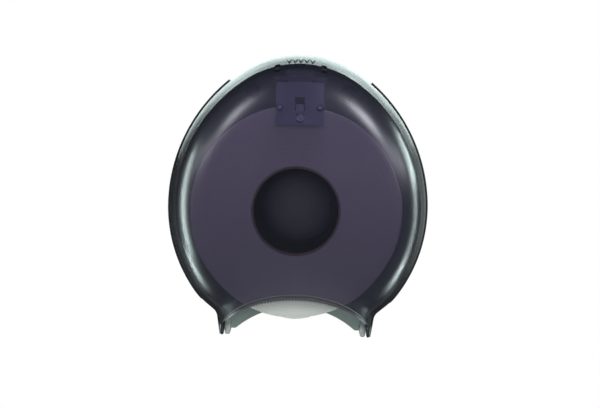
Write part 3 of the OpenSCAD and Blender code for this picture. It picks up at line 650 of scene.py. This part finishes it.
def build_screw_seals():
    """Soft discs that close the upper wall screw holes until the screws pierce them."""
    profile = [(0.01, SEAL_D), (SEAL_R, SEAL_D), (SEAL_R, SEAL_D + 0.6),
               (SEAL_R - 0.5, SEAL_D + 1.0), (4.0, SEAL_D + 1.1), (3.6, SEAL_D + 0.8),
               (0.01, SEAL_D + 0.8)]
    parts = [lathe(profile, (x, WALL_SCREW_Z), 48) for x in (-WALL_SCREW_X, WALL_SCREW_X)]
    return smooth(make_mesh("screw_seals", *merged(parts)), 30)


# ---------------------------------------------------------------- marks on the back plate

def build_plate_marks():
    """Ejector pips and a moulding ring on the tray's floor, beside the arch."""
    low, high = TRAY_FLOOR - 0.2, TRAY_FLOOR + 0.25
    inner, outer = 3.7, 4.2
    ring = [(inner, low), (inner, high), (outer, high), (outer, low)]
    parts = [lathe(ring, (56.5, -119.0), 36)]
    for place in ((46.0, -113.5), (50.0, -116.5), (-52.0, -113.0), (-60.0, -117.5), (-50.0, -110.0),
                  (-58.0, -124.0), (62.0, -112.0)):
        parts.append(rod("d", place, low, high + 0.1, 0.8, 16))
    return smooth(make_mesh("moulding_marks", *merged(parts)), 30)


# ---------------------------------------------------------------- materials

def new_material(name):
    """An empty node material, with its nodes, links and output."""
    mat = bpy.data.materials.new(name)
    mat.use_nodes = True
    nodes = mat.node_tree.nodes
    nodes.clear()
    out = nodes.new("ShaderNodeOutputMaterial")
    return mat, nodes, mat.node_tree.links, out


def coords(nodes, links, scale=(1, 1, 1)):
    """Object coordinates, stretched by a scale."""
    place = nodes.new("ShaderNodeTexCoord")
    mapping = nodes.new("ShaderNodeMapping")
    mapping.inputs["Scale"].default_value = scale
    links.new(place.outputs["Object"], mapping.inputs["Vector"])
    return mapping.outputs["Vector"]


def noise_tex(nodes, links, vector, scale, detail=4.0):
    """Soft noise from 0 to 1."""
    tex = nodes.new("ShaderNodeTexNoise")
    tex.inputs["Scale"].default_value = scale
    tex.inputs["Detail"].default_value = detail
    tex.inputs["Roughness"].default_value = 0.55
    links.new(vector, tex.inputs["Vector"])
    return tex.outputs["Fac"]


def ramp(nodes, links, value, stops):
    """Colours between stops of a position and a colour."""
    node = nodes.new("ShaderNodeValToRGB")
    elements = node.color_ramp.elements
    while len(elements) < len(stops):
        elements.new(0.5)
    for element, (pos, colour) in zip(elements, stops):
        element.position = pos
        element.color = (*colour, 1.0)
    links.new(value, node.inputs["Fac"])
    return node.outputs["Color"]


def map_range(nodes, links, value, low, high, to_low, to_high):
    """A value taken from one range to another, and held at its ends."""
    node = nodes.new("ShaderNodeMapRange")
    node.inputs["From Min"].default_value = low
    node.inputs["From Max"].default_value = high
    node.inputs["To Min"].default_value = to_low
    node.inputs["To Max"].default_value = to_high
    links.new(value, node.inputs["Value"])
    return node.outputs["Result"]


def bump(nodes, links, height, distance, normal=None):
    """A bumped normal, on top of another where one is given."""
    node = nodes.new("ShaderNodeBump")
    node.inputs["Distance"].default_value = distance
    node.inputs["Strength"].default_value = 1.0
    links.new(height, node.inputs["Height"])
    if normal is not None:
        links.new(normal, node.inputs["Normal"])
    return node.outputs["Normal"]


def moulded(name, dark, light, rough, grain=900.0, grain_mm=0.02, specular=0.5):
    """Moulded plastic: a slight mottle, worn gloss and a fine grain."""
    mat, nodes, links, out = new_material(name)
    shader = nodes.new("ShaderNodeBsdfPrincipled")
    vector = coords(nodes, links)
    mottle = noise_tex(nodes, links, vector, 22.0, 3.0)
    links.new(ramp(nodes, links, mottle, [(0.3, dark), (0.7, light)]), shader.inputs["Base Color"])
    gloss = noise_tex(nodes, links, vector, 60.0, 4.0)
    links.new(map_range(nodes, links, gloss, 0.3, 0.7, *rough), shader.inputs["Roughness"])
    fine = noise_tex(nodes, links, vector, grain, 2.0)
    links.new(bump(nodes, links, fine, grain_mm * MM), shader.inputs["Normal"])
    shader.inputs["Specular IOR Level"].default_value = specular
    links.new(shader.outputs["BSDF"], out.inputs["Surface"])
    return mat


def object_height(nodes, links, vector):
    """Height in metres above the frame's origin."""
    split = nodes.new("ShaderNodeSeparateXYZ")
    links.new(vector, split.inputs["Vector"])
    return split.outputs["Z"]


def ear_plastic_painted_light():
    """The tray's plastic, paler at the low end of the hinge ears: a painted highlight for the light
    they catch from below.
    """
    mat, nodes, links, out = new_material("ear_plastic_painted_light")
    vector = coords(nodes, links)
    # Painted highlight: the colour turns paler towards the low end of the ears.
    low = map_range(nodes, links, object_height(nodes, links, vector), -0.1245, -0.1290, 0.0, 1.0)
    shader = nodes.new("ShaderNodeBsdfPrincipled")
    links.new(ramp(nodes, links, low, [(0.0, (0.36, 0.46, 0.42)), (1.0, (0.74, 0.82, 0.78))]),
              shader.inputs["Base Color"])
    shader.inputs["Roughness"].default_value = 0.45
    fine = noise_tex(nodes, links, vector, 700.0, 2.0)
    links.new(bump(nodes, links, fine, 0.03 * MM), shader.inputs["Normal"])
    links.new(shader.outputs["BSDF"], out.inputs["Surface"])
    return mat


def smoke_body(nodes, links, vector, body, rough, grain_mm, specular):
    """The glossy body of a smoke plastic, and the socket that its roughness comes from."""
    solid = nodes.new("ShaderNodeBsdfPrincipled")
    mottle = noise_tex(nodes, links, vector, 9.0, 3.0)
    dark, light = (tuple(c * share for c in body) for share in (0.88, 1.12))
    links.new(ramp(nodes, links, mottle, [(0.3, dark), (0.7, light)]), solid.inputs["Base Color"])
    gloss = noise_tex(nodes, links, vector, 35.0, 4.0)
    shine = map_range(nodes, links, gloss, 0.3, 0.7, *rough)
    links.new(shine, solid.inputs["Roughness"])
    fine = noise_tex(nodes, links, vector, 420.0, 2.0)
    links.new(bump(nodes, links, fine, grain_mm * MM), solid.inputs["Normal"])
    solid.inputs["Specular IOR Level"].default_value = specular
    return solid, shine


def make_low_part_matt(nodes, links, height, solid, shine):
    """Takes the gloss over to the matt finish of the legs."""
    matt = map_range(nodes, links, height, -0.070, -0.096, 0.0, 0.15)
    total = nodes.new("ShaderNodeMath")
    links.new(shine, total.inputs[0])
    links.new(matt, total.inputs[1])
    links.new(total.outputs[0], solid.inputs["Roughness"])
    links.new(map_range(nodes, links, height, -0.066, -0.090, 0.5, 0.10),
              solid.inputs["Specular IOR Level"])


def smoke_plastic(name, tint, body, share, rough, grain_mm=0.004, edge_share=1.0, specular=0.5,
                  matt_legs_painted_shade=False):
    """Translucent smoke plastic: a tinted see-through film under a glossy dark body.

    The body covers a share of the film, which grows to edge_share where the surface turns away.
    Where asked, the legs are matt and the lower half is denser: painted shade that darkens it
    towards the bottom.
    """
    mat, nodes, links, out = new_material(name)
    vector = coords(nodes, links)
    film = nodes.new("ShaderNodeBsdfTransparent")
    film.inputs["Color"].default_value = (*tint, 1.0)
    solid, shine = smoke_body(nodes, links, vector, body, rough, grain_mm, specular)
    facing = nodes.new("ShaderNodeLayerWeight")
    facing.inputs["Blend"].default_value = 0.5
    power = nodes.new("ShaderNodeMath")
    power.operation = "POWER"
    power.inputs[1].default_value = 2.2
    links.new(facing.outputs["Facing"], power.inputs[0])
    cover_share = map_range(nodes, links, power.outputs[0], 0.0, 1.0, share, edge_share)
    if matt_legs_painted_shade:
        height = object_height(nodes, links, vector)
        make_low_part_matt(nodes, links, height, solid, shine)
        # Painted shade: the dark body covers more of the film towards the bottom.
        painted_shade_share = map_range(nodes, links, height, 0.040, -0.095, share, share + 0.15)
        links.new(painted_shade_share, cover_share.node.inputs["To Min"])
    mix = nodes.new("ShaderNodeMixShader")
    links.new(cover_share, mix.inputs["Fac"])
    links.new(film.outputs["BSDF"], mix.inputs[1])
    links.new(solid.outputs["BSDF"], mix.inputs[2])
    links.new(mix.outputs["Shader"], out.inputs["Surface"])
    return mat


def axis_distance(nodes, links, place, x, z):
    """Distance in metres from an axis along the depth."""
    shift = nodes.new("ShaderNodeVectorMath")
    shift.operation = "SUBTRACT"
    shift.inputs[1].default_value = (x * MM, 0.0, z * MM)
    flat = nodes.new("ShaderNodeVectorMath")
    flat.operation = "MULTIPLY"
    flat.inputs[1].default_value = (1.0, 0.0, 1.0)
    length = nodes.new("ShaderNodeVectorMath")
    length.operation = "LENGTH"
    links.new(place, shift.inputs[0])
    links.new(shift.outputs["Vector"], flat.inputs[0])
    links.new(flat.outputs["Vector"], length.inputs[0])
    return length.outputs["Value"]


def tissue():
    """Tissue: winding lines on the faces, small embossed dots and soft creases."""
    mat, nodes, links, out = new_material("tissue_paper")
    shader = nodes.new("ShaderNodeBsdfPrincipled")
    place = coords(nodes, links)
    radius = axis_distance(nodes, links, place, ROLL_X, ROLL_Z)
    warp = noise_tex(nodes, links, place, 14.0, 3.0)
    ring_pos = nodes.new("ShaderNodeMath")
    ring_pos.operation = "MULTIPLY_ADD"
    ring_pos.inputs[1].default_value = 0.006
    links.new(warp, ring_pos.inputs[0])
    links.new(radius, ring_pos.inputs[2])
    rings = nodes.new("ShaderNodeTexNoise")
    rings.noise_dimensions = "1D"
    rings.inputs["Scale"].default_value = 900.0
    rings.inputs["Detail"].default_value = 5.0
    links.new(ring_pos.outputs[0], rings.inputs["W"])
    fine = noise_tex(nodes, links, place, 260.0, 4.0)
    links.new(ramp(nodes, links, rings.outputs["Fac"],
                   [(0.25, (0.76, 0.84, 0.78)), (0.6, (0.86, 0.93, 0.86))]),
              shader.inputs["Base Color"])
    dots = nodes.new("ShaderNodeTexVoronoi")
    dots.inputs["Scale"].default_value = 320.0
    links.new(place, dots.inputs["Vector"])
    first = bump(nodes, links, rings.outputs["Fac"], 0.10 * MM)
    second = bump(nodes, links, dots.outputs["Distance"], 0.10 * MM, first)
    links.new(bump(nodes, links, fine, 0.12 * MM, second), shader.inputs["Normal"])
    shader.inputs["Roughness"].default_value = 0.95
    shader.inputs["Sheen Weight"].default_value = 0.25
    shader.inputs["Sheen Roughness"].default_value = 0.6
    links.new(shader.outputs["BSDF"], out.inputs["Surface"])
    return mat


def dished_cap():
    """Matt grained plastic, paler towards the middle of the cap: a painted highlight for the light
    on its face.
    """
    mat, nodes, links, out = new_material("cap_plastic")
    shader = nodes.new("ShaderNodeBsdfPrincipled")
    place = coords(nodes, links)
    mottle = noise_tex(nodes, links, place, 30.0, 3.0)
    reach = nodes.new("ShaderNodeMath")
    reach.operation = "MULTIPLY_ADD"
    reach.inputs[1].default_value = 0.004
    links.new(mottle, reach.inputs[0])
    links.new(axis_distance(nodes, links, place, 0.0, 0.0), reach.inputs[2])
    share = map_range(nodes, links, reach.outputs[0], 0.010, 0.037, 0.0, 1.0)
    # Painted highlight: the cap's colour lightens towards its middle.
    links.new(ramp(nodes, links, share,
                   [(0.0, (0.30, 0.36, 0.28)), (0.5, (0.20, 0.23, 0.19)),
                    (0.85, (0.07, 0.075, 0.075)), (1.0, (0.03, 0.03, 0.03))]),
              shader.inputs["Base Color"])
    shader.inputs["Roughness"].default_value = 0.7
    fine = noise_tex(nodes, links, place, 1100.0, 2.0)
    links.new(bump(nodes, links, fine, 0.05 * MM), shader.inputs["Normal"])
    links.new(shader.outputs["BSDF"], out.inputs["Surface"])
    return mat


def cardboard():
    """Grey-brown core board with its paper fibres."""
    mat, nodes, links, out = new_material("core_cardboard")
    shader = nodes.new("ShaderNodeBsdfPrincipled")
    fibre = noise_tex(nodes, links, coords(nodes, links, (1, 4, 1)), 180.0, 6.0)
    colour = ramp(nodes, links, fibre, [(0.3, (0.33, 0.27, 0.22)), (0.7, (0.46, 0.38, 0.32))])
    links.new(colour, shader.inputs["Base Color"])
    shader.inputs["Roughness"].default_value = 0.9
    links.new(bump(nodes, links, fibre, 0.1 * MM), shader.inputs["Normal"])
    links.new(shader.outputs["BSDF"], out.inputs["Surface"])
    return mat


def plated_steel(name, low, high, rough):
    """Bright plated or ground steel with fine drawn lines."""
    mat, nodes, links, out = new_material(name)
    shader = nodes.new("ShaderNodeBsdfPrincipled")
    lines = noise_tex(nodes, links, coords(nodes, links, (1, 12, 1)), 700.0, 3.0)
    links.new(ramp(nodes, links, lines, [(0.3, low), (0.7, high)]), shader.inputs["Base Color"])
    links.new(map_range(nodes, links, lines, 0.3, 0.7, *rough), shader.inputs["Roughness"])
    links.new(bump(nodes, links, lines, 0.01 * MM), shader.inputs["Normal"])
    shader.inputs["Metallic"].default_value = 1.0
    links.new(shader.outputs["BSDF"], out.inputs["Surface"])
    return mat


def dress(node, mat):
    """Gives a CAD node a finish."""
    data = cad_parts[node].data
    if not data.materials:
        data.materials.append(mat)
    for i in range(len(data.materials)):
        data.materials[i] = mat


def give(obj, mat, slot, body, *nodes):
    """Finishes a new piece and sets it on a body, in place of some nodes; the slot is not used."""
    obj.data.materials.clear()
    obj.data.materials.append(mat)
    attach(obj, body)
    if nodes:
        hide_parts(*nodes)


# ---------------------------------------------------------------- pieces

SMOKE = dict(tint=(0.815, 0.765, 0.885), body=(0.018, 0.021, 0.031), share=0.31)
CLEAR = (0.98, 0.98, 0.99)

cover_mat = smoke_plastic("smoke_plastic", **SMOKE, rough=(0.24, 0.29), matt_legs_painted_shade=True)
inner_mat = smoke_plastic("smoke_inner", **SMOKE, rough=(0.55, 0.65), specular=0.12)
flange_shade_mat = smoke_plastic("flange_shade_plastic", (0.20, 0.21, 0.22), (0.006, 0.007, 0.007), 0.97,
                           (0.45, 0.55))
lip_mat = smoke_plastic("lip_plastic", (0.70, 0.70, 0.74), (0.080, 0.085, 0.092), 0.86,
                        (0.45, 0.55), grain_mm=0.02)
latch_mat = smoke_plastic("latch_plastic", CLEAR, (0.66, 0.74, 0.85), 0.56,
                          (0.45, 0.6), grain_mm=0.02, edge_share=0.7)
slider_mat = smoke_plastic("slider_plastic", CLEAR, (0.46, 0.52, 0.62), 0.42,
                           (0.45, 0.6), grain_mm=0.02, edge_share=0.6)
post_mat = smoke_plastic("post_plastic", CLEAR, (0.55, 0.62, 0.74), 0.06,
                         (0.35, 0.5), grain_mm=0.02, edge_share=0.08)
knuckle_mat = smoke_plastic("knuckle_plastic", (0.40, 0.42, 0.44), (0.085, 0.090, 0.100), 0.92,
                            (0.35, 0.45), grain_mm=0.02)
# Matt black used as painted shade: it darkens the key slots, the thumb grips and the cover's faces
# against the wall.
painted_shade_black_mat = moulded("painted_shade_matt_black", (0.004, 0.004, 0.005), (0.009, 0.010, 0.010), (0.85, 0.95),
                    grain=700.0, grain_mm=0.03, specular=0.12)
plate_mat = moulded("tray_plastic", (0.38, 0.49, 0.45), (0.42, 0.53, 0.49), (0.38, 0.55),
                    grain=700.0, grain_mm=0.03)
# The seals' grey is darker than the tray's: painted shade, matching the tray's look in the shade
# there.
seal_mat = moulded("seal_rubber", (0.26, 0.32, 0.35), (0.30, 0.36, 0.39), (0.7, 0.85),
                   grain=500.0, grain_mm=0.05)
spindle_mat = moulded("spindle_plastic", (0.018, 0.018, 0.020), (0.030, 0.030, 0.033), (0.35, 0.5))
drum_mat = moulded("hub_plastic", (0.012, 0.012, 0.014), (0.022, 0.022, 0.025), (0.3, 0.45))
bush_mat = moulded("bush_acetal", (0.70, 0.70, 0.66), (0.80, 0.80, 0.76), (0.3, 0.4))
ear_mat = ear_plastic_painted_light()
cap_mat = dished_cap()
tissue_mat = tissue()
board_mat = cardboard()
zinc_mat = plated_steel("zinc_steel", (0.62, 0.63, 0.65), (0.76, 0.77, 0.79), (0.6, 0.75))
pin_mat = plated_steel("pin_steel", (0.48, 0.48, 0.50), (0.60, 0.60, 0.62), (0.2, 0.3))
spring_mat = plated_steel("spring_steel", (0.30, 0.31, 0.34), (0.38, 0.39, 0.42), (0.65, 0.8))

cover = build_cover()
give(cover, cover_mat, "cover_smoke", "cover", "cover")
split_skins(cover, cover_mat, inner_mat, painted_shade_black_mat)
give(build_flange_edge(), flange_shade_mat, "cover_smoke", "cover")
# The grips are matt black: painted shade for how dark they look on the crown.
give(build_grips(), painted_shade_black_mat, "cover_smoke", "cover")
give(build_key_slot_shade(), painted_shade_black_mat, "cover_smoke", "cover")
give(hinge_discs("leg_knuckles", *KNUCKLE), knuckle_mat, "cover_smoke", "cover")
give(build_frame_posts(), post_mat, "cover_smoke", "cover")
give(build_tear_bar(), lip_mat, "tear_bar_smoke", "cover", "tear_bar")
give(build_arch_bead(), lip_mat, "tear_bar_smoke", "cover")
give(build_roll(), tissue_mat, "tissue", "roll", "paper_roll")
give(build_loose_end(), tissue_mat, "tissue", "roll")
give(build_cap_face(), cap_mat, "cap_black", "hub", "hub_cap")
give(build_plate_marks(), plate_mat, "plate_grey", "base")
give(build_screw_seals(), seal_mat, "hub_black", "base")
give(hinge_discs("ear_caps", *EAR_CAP), ear_mat, "plate_grey", "base")

for mat, nodes in ((plate_mat, ("back_plate", "catch_bracket")), (spindle_mat, ("spindle",)),
                   (drum_mat, ("hub_drum",)), (bush_mat, ("hub_bush_rear", "hub_bush_front")),
                   (board_mat, ("roll_core",)), (latch_mat, ("latch_frame",)),
                   (slider_mat, ("latch_slider",)), (spring_mat, ("detent_spring",)),
                   (pin_mat, ("hinge_pin_left", "hinge_pin_right")),
                   (zinc_mat, ("spindle_screws", "hub_washer", "hub_screw", "latch_frame_screws",
                               "detent_screw", "catch_screws"))):
    for node in nodes:
        dress(node, mat)

# ---------------------------------------------------------------- floor, light and camera

# The floor, in metres: half width, front, rear and height
FLOOR_HALF, FLOOR_FRONT, FLOOR_REAR, FLOOR_Z = 2.2, -2.4, 1.2, -1.5
# The room that gloss sees, in front, at the sides and glowing behind
WORLD_FRONT, WORLD_SIDE, WORLD_GLOW = 0.16, 0.012, 0.6
# The soft light from below and above
WORLD_BELOW, WORLD_ABOVE = 0.08, 0.22
# What the lamps point at, and their colours
AIM = (0.0, -0.07, 0.0)
WHITE, CYAN, LILAC = (1.0, 1.0, 1.0), (0.84, 1.0, 0.98), (0.97, 0.98, 1.08)
# The camera's place in metres, its lens in millimetres and its sideways roll in degrees
CAMERA_AT, CAMERA_LENS, CAMERA_ROLL = (0.0022, -2.0, 0.0024), 112.9, -1.3


def build_floor():
    """A plain pale floor, which keeps the object's shadow."""
    mesh = bpy.data.meshes.new("floor")
    corners = [(-FLOOR_HALF, FLOOR_FRONT), (FLOOR_HALF, FLOOR_FRONT),
               (FLOOR_HALF, FLOOR_REAR), (-FLOOR_HALF, FLOOR_REAR)]
    mesh.from_pydata([(x, y, FLOOR_Z) for x, y in corners], [], [(0, 1, 2, 3)])
    floor = bpy.data.objects.new("floor", mesh)
    bpy.context.scene.collection.objects.link(floor)
    mat, nodes, links, out = new_material("floor_paint")
    shader = nodes.new("ShaderNodeBsdfPrincipled")
    shader.inputs["Roughness"].default_value = 0.9
    speck = noise_tex(nodes, links, coords(nodes, links), 40.0, 3.0)
    links.new(ramp(nodes, links, speck, [(0.3, (0.86, 0.86, 0.86)), (0.7, (0.88, 0.88, 0.88))]),
              shader.inputs["Base Color"])
    links.new(shader.outputs["BSDF"], out.inputs["Surface"])
    mesh.materials.append(mat)


def build_world():
    """White behind the object, a pale glow above it and a dim room in front."""
    world = bpy.data.worlds.new("studio")
    bpy.context.scene.world = world
    world.use_nodes = True
    nodes, links = world.node_tree.nodes, world.node_tree.links
    nodes.clear()

    def math_node(operation, a, b):
        node = nodes.new("ShaderNodeMath")
        node.operation = operation
        for socket, value in zip(node.inputs, (a, b)):
            if isinstance(value, float):
                socket.default_value = value
            else:
                links.new(value, socket)
        return node.outputs[0]

    place = nodes.new("ShaderNodeTexCoord")
    split = nodes.new("ShaderNodeSeparateXYZ")
    links.new(place.outputs["Generated"], split.inputs["Vector"])

    rise = math_node("ADD", split.outputs["Z"], math_node("MULTIPLY", split.outputs["X"], 0.55))
    above = map_range(nodes, links, rise, -0.02, 0.09, 0.0, WORLD_GLOW)
    behind = map_range(nodes, links, split.outputs["Y"], 0.94, 0.99, 0.0, 1.0)
    glow = math_node("MULTIPLY", above, behind)
    front = map_range(nodes, links, split.outputs["Y"], -0.4, 0.3, WORLD_FRONT, WORLD_SIDE)
    glossy = math_node("MAXIMUM", glow, front)
    rays = nodes.new("ShaderNodeLightPath")
    seen = math_node("MAXIMUM", rays.outputs["Is Camera Ray"], rays.outputs["Is Transmission Ray"])
    ambient = map_range(nodes, links, split.outputs["Z"], -0.6, 0.5, WORLD_BELOW, WORLD_ABOVE)
    diffuse = math_node("MULTIPLY", rays.outputs["Is Diffuse Ray"], ambient)
    shine = math_node("MULTIPLY", rays.outputs["Is Glossy Ray"], glossy)
    tint = nodes.new("ShaderNodeMix")
    tint.data_type = "RGBA"
    tint.inputs["A"].default_value = (1.0, 1.0, 1.0, 1.0)
    tint.inputs["B"].default_value = (0.84, 1.0, 0.96, 1.0)
    links.new(rays.outputs["Is Glossy Ray"], tint.inputs["Factor"])
    back = nodes.new("ShaderNodeBackground")
    links.new(tint.outputs["Result"], back.inputs["Color"])
    strength = math_node("MAXIMUM", seen, math_node("MAXIMUM", diffuse, shine))
    links.new(strength, back.inputs["Strength"])
    out = nodes.new("ShaderNodeOutputWorld")
    links.new(back.outputs["Background"], out.inputs["Surface"])


def softbox(name, place, aim, size, radiance, colour=WHITE, tilt=0.0, glint=True):
    """A rectangular lamp of a given radiance, seen only as a glint or only as soft light."""
    light = bpy.data.lights.new(name, "AREA")
    light.shape = "RECTANGLE"
    light.size, light.size_y = size
    light.energy = radiance * math.pi * size[0] * size[1]
    light.color = colour
    obj = bpy.data.objects.new(name, light)
    bpy.context.scene.collection.objects.link(obj)
    obj.location = place
    obj.visible_diffuse = not glint
    obj.visible_glossy = glint
    obj.visible_camera = False
    turn = Quaternion((0.0, 0.0, 1.0), math.radians(tilt))
    obj.rotation_euler = ((Vector(aim) - Vector(place)).to_track_quat("-Z", "Y") @ turn).to_euler()


def build_lamps():
    """Soft light from the front and above, and glints along the shoulders and the rim."""
    left, right = (0.0, -0.07, -0.1), (0.0, -0.07, -0.3)
    softbox("front_fill", (0.15, -2.40, 0.35), AIM, (1.2, 1.2), 5.2, glint=False)
    softbox("top_fill", (0.15, -0.75, 2.20), AIM, (1.0, 0.8), 8.0, glint=False)
    softbox("key_right", (1.20, -1.37, 1.30), AIM, (0.5, 0.5), 66.0, LILAC)
    softbox("key_left", (-1.20, -1.37, 1.30), AIM, (0.5, 0.5), 36.0, LILAC)
    softbox("arc_right", (1.35, -0.70, 0.62), AIM, (1.1, 0.32), 15.0, LILAC)
    softbox("arc_left", (-1.35, -0.85, 0.62), AIM, (1.0, 0.32), 11.0, LILAC)
    softbox("side_left", (-1.35, 0.0, 0.02), (0.0, -0.07, 0.02), (0.42, 1.1), 30.0, CYAN, tilt=6.0)
    softbox("side_left_low", (-1.28, 0.38, -0.72), left, (0.42, 0.5), 22.0, CYAN)
    softbox("side_right", (1.33, 0.38, -0.3), right, (0.42, 1.5), 9.0, CYAN)
    softbox("side_right_top", (1.28, 0.46, 0.50), AIM, (0.7, 0.5), 19.0, CYAN)
    softbox("side_right_low", (1.28, 0.40, -0.72), AIM, (0.4, 0.4), 15.0, CYAN)
    softbox("rim", (0.0, 2.2, 0.66), (0.0, 0.0, 0.1), (1.3, 0.86), 2.55, CYAN, tilt=-4.0)


def build_camera():
    """The camera, at the photograph's viewing angle."""
    camera = bpy.data.objects.new("camera", bpy.data.cameras.new("camera"))
    bpy.context.scene.collection.objects.link(camera)
    camera.data.sensor_width = 36.0
    camera.data.lens = CAMERA_LENS
    camera.data.clip_start, camera.data.clip_end = 0.1, 50.0
    camera.location = CAMERA_AT
    camera.rotation_euler = (Matrix.Rotation(math.radians(CAMERA_ROLL), 4, "Y")
                             @ Matrix.Rotation(math.radians(90), 4, "X")).to_euler()
    bpy.context.scene.camera = camera


build_floor()
build_world()
build_lamps()
build_camera()
bpy.context.scene.view_settings.view_transform = "Standard"
